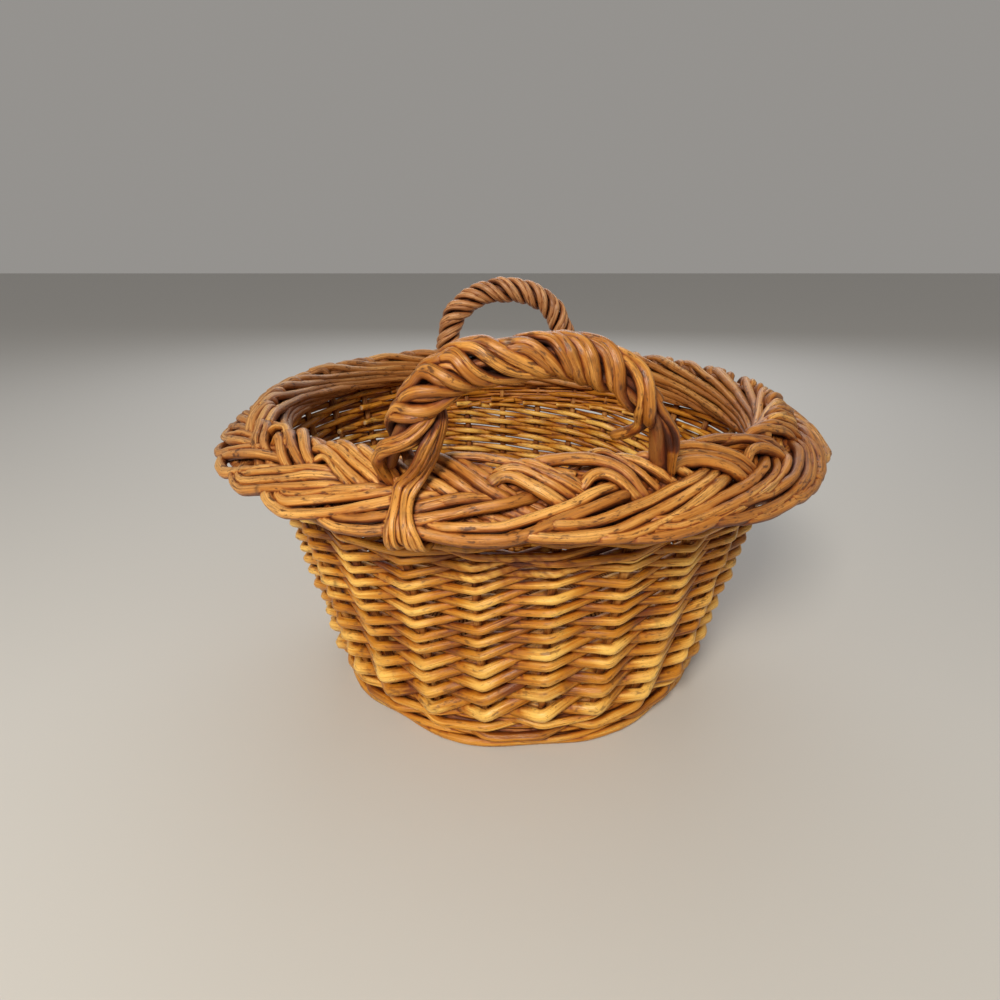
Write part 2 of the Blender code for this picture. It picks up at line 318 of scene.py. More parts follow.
class Piece:
    """Several rods in one mesh, with their own grain and their own cut ends."""

    made = []

    def __init__(self, name, material, slot, nodes):
        self.name, self.material, self.slot, self.nodes = name, material, slot, nodes
        self.V, self.grain, self.info, self.wear = [], [], [], []
        self.quads, self.tris = [], []
        self.strips = []
        self.quad_of, self.tri_of = [], []
        self.count = 0
        Piece.made.append(self)

    def rod(
        self, P, r, sides=8, step=0.0026, tone=None, knots=0.085, lump=0.04,
        age=0.0, red=0.3, flat=0.05, taper=None, share=None, spots=None, ridge=0.0, tall=1.0, painted_light=None,
    ):
        P, s = even(np.asarray(P, float), step)
        n = len(P)
        T, N, B = carried_frames(P)
        length = s[-1]
        radius = np.full(n, float(r)) if np.isscalar(r) else np.interp(
            np.linspace(0, 1, n), np.linspace(0, 1, len(r)), r
        )
        if taper:
            radius = radius * np.interp(s, (0, length), taper)
        mean = float(radius.mean())
        radius = radius * (1 + drift(n, 12, lump) + drift(n, 3, lump * 0.4))
        radius[0] *= 0.80
        radius[-1] *= 0.80
        phi = TAU * np.arange(sides) / sides
        ring = np.ones((n, sides)) * radius[:, None]
        ring *= 1 + flat * np.cos(2 * (phi[None, :] - drift(n, 20, 1.2)[:, None]))
        if ridge:
            turn = drift(n, 24, 0.5)[:, None] + rng.uniform(0, TAU)
            ring *= 1 + ridge * np.cos(int(rng.integers(3, 6)) * phi[None, :] + turn)
        mark = np.zeros((n, sides))
        if knots:
            at = rng.uniform(0.1, 1.0) * knots
            side = rng.uniform(0, TAU)
            while at < length:
                along = np.exp(-(((s - at) / 0.0022) ** 2))
                around = np.clip(np.cos(phi - side), 0, 1) ** 2
                ring += mean * 0.16 * along[:, None] * (0.35 + 0.65 * around[None, :])
                spot = np.exp(-(((s - at - 0.0006) / 0.0016) ** 2))[:, None] * around[None, :]
                mark = np.maximum(mark, spot * rng.uniform(0.4, 1.0))
                at += knots * rng.uniform(0.6, 1.5)
                side += 2.4
        c, d = np.cos(phi), np.sin(phi)
        V = P[:, None, :] + ring[:, :, None] * (
            c[None, :, None] * N[:, None, :] + d[None, :, None] * B[:, None, :]
        )
        if tall != 1.0:
            V[:, :, 2] = P[:, None, 2] + (V[:, :, 2] - P[:, None, 2]) * tall
        seed = rng.uniform(0, 3, 3)
        grain = np.empty((n, sides, 3))
        grain[:, :, 0] = s[:, None] + seed[0]
        grain[:, :, 1] = mean * c[None, :] + seed[1]
        grain[:, :, 2] = mean * d[None, :] + seed[2]
        tone = rng.uniform(0, 1) if tone is None else tone
        info = np.zeros((n, sides, 3))
        info[:, :, 0] = tone
        info[:, :, 1] = mark
        # painted light along the rod: lighter and darker stretches added to its tone
        if painted_light is not None:
            info[:, :, 0] += np.interp(np.linspace(0, 1, n), np.linspace(0, 1, len(painted_light)), painted_light)[:, None]
        wear = np.zeros((n, sides, 3))
        wear[:, :, 0] = age
        wear[:, :, 2] = red
        if spots is not None:
            wear[:, :, 2] += np.interp(np.linspace(0, 1, n), np.linspace(0, 1, len(spots)), spots)[:, None]
        if share is None:
            share = [(self, 0.0, 1.0)]
        for owner, from_part, to_part in share:
            i0, i1 = int(round(from_part * (n - 1))), int(round(to_part * (n - 1))) + 1
            if i1 - i0 < 2:
                continue
            owner.tube(
                V[i0:i1], grain[i0:i1], info[i0:i1], wear[i0:i1], s[i0:i1] - s[i0], mean,
                (i0 == 0, i1 == n), T[i0:i1], radius[i0:i1], seed, age, tone,
            )

    def tube(self, V, grain, info, wear, s, mean, closed, T, radius, seed, age, tone):
        n, sides = V.shape[:2]
        index = self.count + np.arange(n * sides).reshape(n, sides)
        a, b = index[:-1], index[1:]
        quads = np.stack((a, np.roll(a, -1, 1), np.roll(b, -1, 1), b), -1).reshape(-1, 4)
        rod_id = len(self.strips)
        self.strips.append(("rod", s, sides, TAU * mean))
        self.quads.append(quads)
        self.quad_of.append(rod_id)
        self.V.append(V.reshape(-1, 3))
        self.grain.append(grain.reshape(-1, 3))
        self.info.append(info.reshape(-1, 3))
        self.wear.append(wear.reshape(-1, 3))
        self.count += n * sides
        for end, wanted in zip((0, -1), closed):
            if not wanted:
                continue
            rim = V[end]
            centre = rim.mean(0) - (T[end] if end == 0 else -T[end]) * radius[end] * 0.10
            cap_v = np.concatenate((rim, centre[None]))
            g = np.empty((sides + 1, 3))
            g[:, 0] = seed[0] + rng.uniform(0, 1)
            g[:-1, 1:] = 0.5 * (rim - centre)[:, :2] + seed[1]
            g[-1, 1:] = seed[1]
            w = np.zeros((sides + 1, 3))
            w[:, 0] = age
            k = np.zeros((sides + 1, 3))
            k[:, 0] = tone
            k[:, 2] = 1.0
            j = np.arange(sides)
            top = self.count + sides
            one, two = self.count + j, self.count + (j + 1) % sides
            tri = (
                np.stack((np.full(sides, top), two, one), 1)
                if end == 0
                else np.stack((np.full(sides, top), one, two), 1)
            )
            self.tris.append(tri)
            self.tri_of.append(len(self.strips))
            self.strips.append(("cap", end, sides, float(radius[end])))
            self.V.append(cap_v)
            self.grain.append(g)
            self.info.append(k)
            self.wear.append(w)
            self.count += sides + 1

    # -------------------------------------------------- flat layout of the skin
    def layout(self):
        gap = 0.0012
        area = sum(
            (s[1][-1] * (s[3] + gap)) if s[0] == "rod" else (2.4 * s[3]) ** 2
            for s in self.strips
        )
        side = math.sqrt(area) * 1.02
        while True:
            cells = []
            for i, strip in enumerate(self.strips):
                if strip[0] == "rod":
                    s = strip[1]
                    part = np.floor(s / (side * 0.97)).astype(int)
                    for p in range(part[-1] + 1):
                        at = np.nonzero(part == p)[0]
                        first = at[0]
                        last = min(at[-1] + 1, len(s) - 1)
                        if last <= first:
                            continue
                        cells.append((strip[3] + gap, s[last] - s[first] + gap, i, first, last))
                else:
                    cells.append((2.0 * strip[3] + gap, 2.0 * strip[3] + gap, i, 0, 0))
            cells.sort(key=lambda c: (-round(c[0], 5), -c[1], c[2], c[3]))
            shelves, places, top, fits = [], {}, 0.0, True
            for high, wide, i, first, last in cells:
                for shelf in shelves:
                    if shelf[2] + wide <= side and high <= shelf[1] + 1e-9:
                        places[(i, first)] = (shelf[2], shelf[0], last)
                        shelf[2] += wide
                        break
                else:
                    if top + high > side or wide > side:
                        fits = False
                        break
                    shelves.append([top, high, wide])
                    places[(i, first)] = (0.0, top, last)
                    top += high
            if fits:
                return side, places
            side *= 1.03

    def build(self):
        side, places = self.layout()
        V = np.concatenate(self.V)
        mesh = bpy.data.meshes.new(self.name)
        quads = np.concatenate(self.quads)
        tris = np.concatenate(self.tris) if self.tris else np.zeros((0, 3), int)
        mesh.vertices.add(len(V))
        mesh.vertices.foreach_set("co", V.astype(np.float32).ravel())
        loops = np.concatenate((quads.ravel(), tris.ravel()))
        mesh.loops.add(len(loops))
        mesh.loops.foreach_set("vertex_index", loops.astype(np.int32))
        nq, nt = len(quads), len(tris)
        mesh.polygons.add(nq + nt)
        start = np.concatenate((np.arange(nq) * 4, nq * 4 + np.arange(nt) * 3))
        mesh.polygons.foreach_set("loop_start", start.astype(np.int32))
        mesh.polygons.foreach_set("use_smooth", np.ones(nq + nt, bool))
        mesh.update(calc_edges=True)
        uv = []
        for rod_id, quad in zip(self.quad_of, self.quads):
            _, s, sides, girth = self.strips[rod_id]
            x0, y0, s0 = np.zeros(len(s)), np.zeros(len(s)), np.zeros(len(s))
            for (i, first), (px, py, last) in places.items():
                if i == rod_id:
                    x0[first:last], y0[first:last], s0[first:last] = px, py, s[first]
            i = np.repeat(np.arange(len(s) - 1), sides)
            j = np.tile(np.arange(sides), len(s) - 1)
            ua, ub = x0[i] + s[i] - s0[i], x0[i] + s[i + 1] - s0[i]
            va, vb = y0[i] + girth * j / sides, y0[i] + girth * (j + 1) / sides
            corner = np.stack(
                (np.stack((ua, va), -1), np.stack((ua, vb), -1), np.stack((ub, vb), -1), np.stack((ub, va), -1)), 1
            )
            uv.append(corner.reshape(-1, 2))
        for cap_id, tri in zip(self.tri_of, self.tris):
            _, end, sides, r = self.strips[cap_id]
            px, py, _ = places[(cap_id, 0)]
            j = np.arange(sides)
            mid = np.array((px + r, py + r))
            one = mid + r * np.stack((np.cos(TAU * j / sides), np.sin(TAU * j / sides)), 1)
            two = np.roll(one, -1, 0)
            middle = np.repeat(mid[None], sides, 0)
            order = (middle, two, one) if end == 0 else (middle, one, two)
            uv.append(np.stack(order, 1).reshape(-1, 2))
        layer = mesh.uv_layers.new(name="OFBake")
        flat = (np.concatenate(uv) + 0.0004) / (side + 0.0008)
        layer.data.foreach_set("uv", flat.astype(np.float32).ravel())
        self.wear_and_shade_all = np.concatenate(self.wear)
        self.info_all = np.concatenate(self.info)
        for name, values in (
            ("grain", np.concatenate(self.grain)),
            ("info", self.info_all),
            ("wear", self.wear_and_shade_all),
        ):
            attribute = mesh.attributes.new(name, "FLOAT_VECTOR", "POINT")
            attribute.data.foreach_set("vector", values.astype(np.float32).ravel())
        mesh.materials.append(self.material)
        mesh.validate()
        self.object = bpy.data.objects.new(self.name, mesh)
        bpy.context.scene.collection.objects.link(self.object)
        self.all_v, self.all_quads = V, quads
        return self.object


# ------------------------------------------------------------------- stakes
def stake_path(k, top=0.1930):
    angle = float(stake_angle(k))
    z = np.linspace(0.0140, top, 30)
    lean = drift(len(z), 10, 0.0006)
    side = drift(len(z), 12, 0.0010)
    r = wall_radius(z) + lean
    foot_r = np.array((0.1204, 0.1245, 0.1283, 0.1310))
    foot_z = np.array((0.0087, 0.0087, 0.0092, 0.0110))
    radius = np.concatenate((foot_r, r))
    height = np.concatenate((foot_z, z))
    swing = np.concatenate((np.zeros(4), side)) / radius
    return polar(angle + swing, radius, height)


for k in range(N_STAKES):
    piece = Piece(f"stake_rod_{k + 1:02d}", MAT["stake"], "willow_stake", [f"stake_{k + 1:02d}"])
    piece.rod(stake_path(k), STAKE_R * rng.uniform(0.97, 1.08), sides=8, step=0.0045, age=0.15, knots=0.06)


# -------------------------------------------------------------- side weave
def hold(k, z, side, r, extra=0.0):
    """Middle of a rod where stake k holds it: side +1 outside, -1 inside."""
    reach = side * (STAKE_R + np.asarray(r) + extra)
    return polar(stake_angle(k), wall_radius(z) + 0.965 * reach, z - 0.30 * reach)


def course(points, bend):
    """Straight from stake to stake, bent over `bend` metres at each; also the
    place of every sample among the points."""
    points = np.asarray(points, float)
    d = np.concatenate(((0.0,), np.cumsum(np.linalg.norm(np.diff(points, axis=0), axis=1))))
    n = int(d[-1] / 0.0009) + 2
    s = np.linspace(0, d[-1], n)
    P = np.stack([np.interp(s, d, points[:, c]) for c in range(3)], 1)
    return blurred(P, bend / 0.0009), np.interp(s, d, np.arange(len(points)))


# heights at which rods pass in front of a stake, from the foot up
FRONTS = np.array((
    0.0345, 0.0498, 0.0628, 0.0745, 0.0860, 0.0966, 0.1065, 0.1158, 0.1250, 0.1340, 0.1425, 0.1503, 0.1575
))
# by how much a stake's rods sit higher than the mean, lower and upper part
STAKE_SHIFT = {
    -4: (-0.001, 0.000), -3: (-0.0050, -0.0035), -2: (-0.0040, -0.0030), -1: (-0.0005, 0.0008),
    0: (0.0048, 0.0050), 1: (0.0012, 0.0024), 2: (0.0022, -0.0018), 3: (0.0, 0.001),
}
shift_low, shift_high = drift(N_STAKES, 2.2, 0.0026), drift(N_STAKES, 2.2, 0.0020)
for k, (low, high) in STAKE_SHIFT.items():
    shift_low[k % N_STAKES], shift_high[k % N_STAKES] = low, high
row_noise = rng.normal(0, 0.00058, (N_STAKES, 30))


def level(k, m):
    """Height at stake k of half-row m (odd: in front, even: behind)."""
    z = np.interp(m, np.arange(1, 26, 2), FRONTS)
    if m < 1:
        z = FRONTS[0] - 0.0074 * (1 - m)
    part = np.clip((z - 0.04) / 0.10, 0, 1)
    shift = shift_low[k % N_STAKES] * (1 - part) + shift_high[k % N_STAKES] * part
    fade = np.clip((m + 0.6) / 2.5, 0, 1) * np.clip((25.2 - m) / 2.5, 0, 1)
    return z + shift * fade + row_noise[k % N_STAKES, m]


def half_pitch(m):
    step = np.interp(m, np.arange(2, 26, 2), np.diff(FRONTS))
    return step / 2


TOP_HALF = 24
weave_pieces = [
    Piece(f"side_weave_rods_{j + 1}", MAT["weave"], "willow_weave", [f"side_weave_{j + 1}"])
    for j in range(8)
]
for i in range(N_STAKES):
    size = rng.uniform(0.86, 1.08)
    ms = np.arange(0, TOP_HALF + 1)
    rr = 0.545 * half_pitch(ms) * size
    pts = [
        hold(i + m, level(i + m, m), 1 if m % 2 else -1, r, 0.0003 + rng.normal(0, 0.00035))
        for m, r in zip(ms.tolist(), rr)
    ]
    before = pts[0] + 0.42 * (pts[0] - pts[1]) * np.array((1, 1, 0.4))
    after = pts[-1] + 0.40 * (pts[-1] - pts[-2]) * np.array((1, 1, 0.4))
    before *= np.array((0.985, 0.985, 1))
    after *= np.array((0.985, 0.985, 1))
    P, place = course([before] + pts + [after], 0.0016)
    place = place - 1
    n = len(P)
    P = P + drift(n, 40, 0.00040)[:, None] * np.array((0, 0, 1.0))
    r_line = np.interp(place, ms, rr)
    bends = np.exp(-(((np.mod(place, 2.0) - 1.0) / 0.16) ** 2)) * 0.18
    # painted highlight on each stroke's front crest and painted shade near the crossings, added to the rod's tone
    crest = 0.45 * np.cos(TAU * place) + 0.10 * np.cos(np.pi * (place - 1.0)) - 0.06
    cuts = [np.interp(3 * j, place, np.linspace(0, 1, n)) for j in range(9)]
    cuts[0], cuts[8] = 0.0, 1.0
    weave_pieces[0].rod(
        P, r_line, sides=8, step=0.0022, knots=0.075, red=rng.uniform(0.0, 0.12), spots=bends, painted_light=crest,
        lump=0.05, tall=1.08, share=[(weave_pieces[j], cuts[j], cuts[j + 1]) for j in range(8)],
    )


# ------------------------------------------------------------- waled rounds
def wale_rows(piece, z0, pitch, rows, radius, k_start, jitter=0.0004, out=0.0, red=(0.0, 0.45), cross=0.30, bend=0.0030):
    """A rod in front of two stakes, behind the third, each round one on."""
    total = rows * N_STAKES
    at = 0
    while at < total - 2:
        length = 3 * int(rng.integers(9, 13))
        end = min(at + length, total)
        r = radius * rng.uniform(0.92, 1.08)
        pts, where = [], []
        for k in range(at, end + 1):
            beat = k % 3
            side = (-1, 1, 1)[beat]
            rise = (0.0, -1.0, 1.0)[beat] * cross * pitch
            z = z0 + pitch * k / N_STAKES + rise + rng.normal(0, jitter)
            pts.append(hold(k + k_start, z, side, r, 0.0002) + polar(stake_angle(k + k_start), out, 0.0))
        first = pts[0] + 0.35 * (pts[0] - pts[1])
        last = pts[-1] + 0.35 * (pts[-1] - pts[-2])
        P, _ = course([first] + pts + [last], bend)
        piece.rod(P, r, sides=8, step=0.0024, knots=0.08, red=rng.uniform(*red), lump=0.05)
        at = end


foot = Piece("foot_wale_rods", MAT["wale"], "willow_wale", ["foot_wale"])
upper_foot = Piece("upsett_wale_rods_lower", MAT["wale"], "willow_wale", ["upsett_wale_lower"])
upsett = Piece("upsett_wale_rods_upper", MAT["wale"], "willow_wale", ["upsett_wale_upper"])
wale_rows(upper_foot, 0.0102, 0.0062, 1, 0.0029, 14)
wale_rows(upsett, 0.0164, 0.0062, 2, 0.0029, 13)


def foot_round(radius_at, z_at, r, shift, swing):
    k = np.linspace(-0.6, N_STAKES + 0.6, 460)
    beat = np.mod(k + shift, 3.0)
    side = blurred(np.interp(beat, (0, 0.6, 1.0, 2.0, 2.4, 3.0), (-1, 0.2, 1, 1, 0.2, -1)), 5.0)
    n = len(k)
    rr = radius_at + swing * side + drift(n, 22, 0.0004)
    zz = z_at + 0.0007 * np.interp(beat, (0, 0.5, 2.5, 3.0), (0, -1, 1, 0)) + drift(n, 22, 0.0003)
    zz = np.maximum(zz, r * 1.12)
    foot.rod(polar(stake_angle(k + 14), rr, zz), r, sides=8, step=0.0026, red=0.4, lump=0.03)


for z_in in (0.0120, 0.0170, 0.0228, 0.0288):      # seen only between the strokes
    turn = np.linspace(0, TAU + 0.05, 420)
    upsett.rod(
        polar(turn, wall_radius(z_in) - 0.0006 + drift(420, 14, 0.0003), z_in + drift(420, 14, 0.0004)),
        0.0024, sides=8, step=0.0032, red=0.3, tone=0.2,
    )
foot_round(0.1272, 0.0028, 0.0024, 0.0, 0.0022)
foot_round(0.1328, 0.0032, 0.0028, 1.0, 0.0030)
foot_round(0.1318, 0.0062, 0.0024, 2.0, 0.0028)
foot_round(0.1316, 0.0098, 0.0024, 0.5, 0.0020)

top = Piece("top_wale_rods", MAT["wale"], "willow_wale", ["top_wale"])
wale_rows(top, 0.1524, 0.0040, 10, 0.0024, 15, jitter=0.0005, cross=0.12, bend=0.0024)
for z_in in np.arange(0.1545, 0.1800, 0.0038):      # seen only between the strokes of the far side
    turn = np.radians(np.linspace(138, 222, 200))
    top.rod(
        polar(turn, wall_radius(z_in) - 0.0003 + drift(200, 14, 0.0002), z_in + drift(200, 14, 0.0003)),
        0.0018, sides=8, step=0.0032, red=0.2, tone=0.3,
    )


# --------------------------------------------------------------------- base
def zigzag(x, sharp):
    """+1 at even whole numbers and -1 at odd ones."""
    return np.arcsin(sharp * np.cos(np.pi * x)) / math.asin(sharp)


N_SPOKES = 14
spoke_step = TAU / N_SPOKES
for label, count, pitch, level in (("long", 4, 0.0060, 0.0064), ("cross", 3, 0.0062, 0.0120)):
    for i in range(count):
        off = i - (count - 1) / 2
        end = spoke_step * off
        c, s = math.cos(end), math.sin(end)
        half = [
            (0.0, pitch * off, level), (0.0125, pitch * off, level),
            (0.0230, 0.5 * (pitch * off + 0.0345 * s), (level + 0.0090) / 2),
            (0.0345 * c, 0.0345 * s, 0.0090), (0.060 * c, 0.060 * s, 0.0090),
            (0.1180 * c, 0.1180 * s, 0.0090),
        ]
        chain = [(-x, y, z) for x, y, z in reversed(half[1:])] + half
        chain = np.array(chain, float)
        if label == "cross":
            chain = chain[:, (1, 0, 2)] * np.array((-1.0, 1.0, 1.0))
        fine = even(chain, 0.002)[0]
        fine = blurred(fine, 2.0)
        piece = Piece(f"base_rod_{label}_{i + 1}", MAT["base"], "willow_base", [f"base_stick_{label}_{i + 1}"])
        piece.rod(fine, STAKE_R * 1.02, sides=8, step=0.004, age=0.2, knots=0.07)

base_pieces = [
    (Piece(f"base_weave_rods_{n}", MAT["base"], "willow_base", [f"base_weave_{n}"]), lo, hi)
    for n, lo, hi in (("inner", 0.0, 0.0625), ("middle", 0.0625, 0.0895), ("outer", 0.0895, 0.12))
]
PAIR_R = 0.00145
for round_r in (0.0148, 0.0176, 0.0204, 0.0232, 0.0260):      # rounds that bind the crossed sticks
    for parity in (0, 1):
        turn = np.linspace(0, TAU * 1.02, 200)
        up = 0.0090 + 0.0062 * (-1) ** parity * np.cos(2 * turn) + 0.0004 * np.sin(7 * turn)
        square = round_r * (1 + 0.05 * np.cos(4 * turn))
        base_pieces[0][0].rod(polar(turn, square, np.maximum(up, 0.0018)), PAIR_R, sides=6, step=0.0027, age=0.1, knots=0.09)
for which, (piece, lo, hi) in enumerate(base_pieces):
    start_r, end_r = ((0.0290, 0.0622), (0.0640, 0.0890), (0.0908, 0.1240))[which]
    pitch = 0.0031
    turns = (end_r - start_r) / pitch
    for parity in (0, 1):
        k = np.linspace(0, turns * N_SPOKES, int(turns * N_SPOKES * 9))
        radius = start_r + pitch * k / N_SPOKES + 0.00055 * np.sin(np.pi * (k + parity)) + drift(len(k), 14, 0.00025)
        swing = (STAKE_R + PAIR_R) * zigzag(k + parity, 0.93)
        angle = math.pi / 2 + spoke_step * k
        path = polar(angle, radius, 0.0090 + swing + drift(len(k), 14, 0.0002))
        cuts = np.linspace(0, len(k) - 1, max(2, int(len(k) / 420) + 1)).astype(int)
        for a, b in zip(cuts[:-1], cuts[1:]):
            piece.rod(path[max(a - 5, 0) : b + 5], PAIR_R, sides=6, step=0.0027, age=0.2, knots=0.09)


# ------------------------------------------------------------------ the plait
DEG_MM = math.degrees(0.001 / BORDER_R)     # degrees of the rim in one millimetre


def border_point(t, across, lift):
    return polar(
        t,
        BORDER_R + across * ACROSS[0] + lift * NORMAL[0],
        BORDER_Z + across * ACROSS[1] + lift * NORMAL[1],
    )


def lay_rod(piece, kind, stations, r, top=3.1, **look):
    """One stroke of the plait, and its way below the others at both ends.

    kind "U" comes over the inner edge and runs outward, kind "L" comes round the
    outer edge and runs inward; stations are (degrees, millimetres across).
    """
    st = np.array(stations, float)
    mm = np.stack((st[:, 0] / DEG_MM, st[:, 1]), 1)
    d = np.concatenate(((0.0,), np.cumsum(np.linalg.norm(np.diff(mm, axis=0), axis=1))))
    s = np.linspace(0, d[-1], max(int(d[-1] / 1.5), 6))
    shown = np.stack((np.interp(s, d, mm[:, 0]), np.interp(s, d, mm[:, 1])), 1)
    shown = blurred(shown, 1.2)
    soft = lambda x: np.clip(x, 0, 1) ** 2 * (3 - 2 * np.clip(x, 0, 1))
    lift = 0.1 + (top - 0.1) * soft((d[-1] - s) / 13.0 + 0.10)
    lift -= 0.9 * np.exp(-s / 4.0)
    lift -= 0.10 * np.clip(np.abs(shown[:, 1]) - 13, 0, 20)
    a0, u0 = shown[0]
    if kind == "U" and u0 > 15:
        before = ((-21.0, -21.0, -3.9), (-11.0, -10.0, -4.1), (-4.0, -1.6, -4.0), (-1.6, 1.2, -1.2))
    elif kind == "U":
        before = ((-14.0, -20.0, -3.9), (-8.0, -11.0, -3.8), (-3.4, -4.4, -1.6))
    else:
        before = ((-18.0, 17.0, -3.9), (-10.0, 9.0, -3.9), (-4.0, 2.4, -2.0))
    before = [(a0 + a, u0 + u, w) for a, u, w in before]
    way = shown[-1] - shown[-4]
    way /= np.linalg.norm(way)
    far = abs((-15.0 if kind == "U" else 15.0) - shown[-1, 1]) / max(abs(way[1]), 0.35)
    far = min(max(far, 16.0), 42.0)
    after = [(*(shown[-1] + way * 7.0), -2.3), (*(shown[-1] + way * 12.0), -3.6), (*(shown[-1] + way * far), -3.9)]
    rows = before + [(x, y, w) for (x, y), w in zip(shown, lift)] + after
    rows = np.array(rows)
    P = border_point(np.radians(rows[:, 0] * DEG_MM), rows[:, 1] / 1000, rows[:, 2] / 1000)
    P = blurred(even(P, 0.0010)[0], 1.9)
    n = len(P)
    wander = np.stack((drift(n, 16, 0.00035), drift(n, 16, 0.00035), drift(n, 16, 0.00030)), 1)
    piece.rod(P + wander, r * 1.07 / 1000, sides=12, step=0.0021, knots=0.07, lump=0.07, flat=0.08, ridge=0.035, **look)


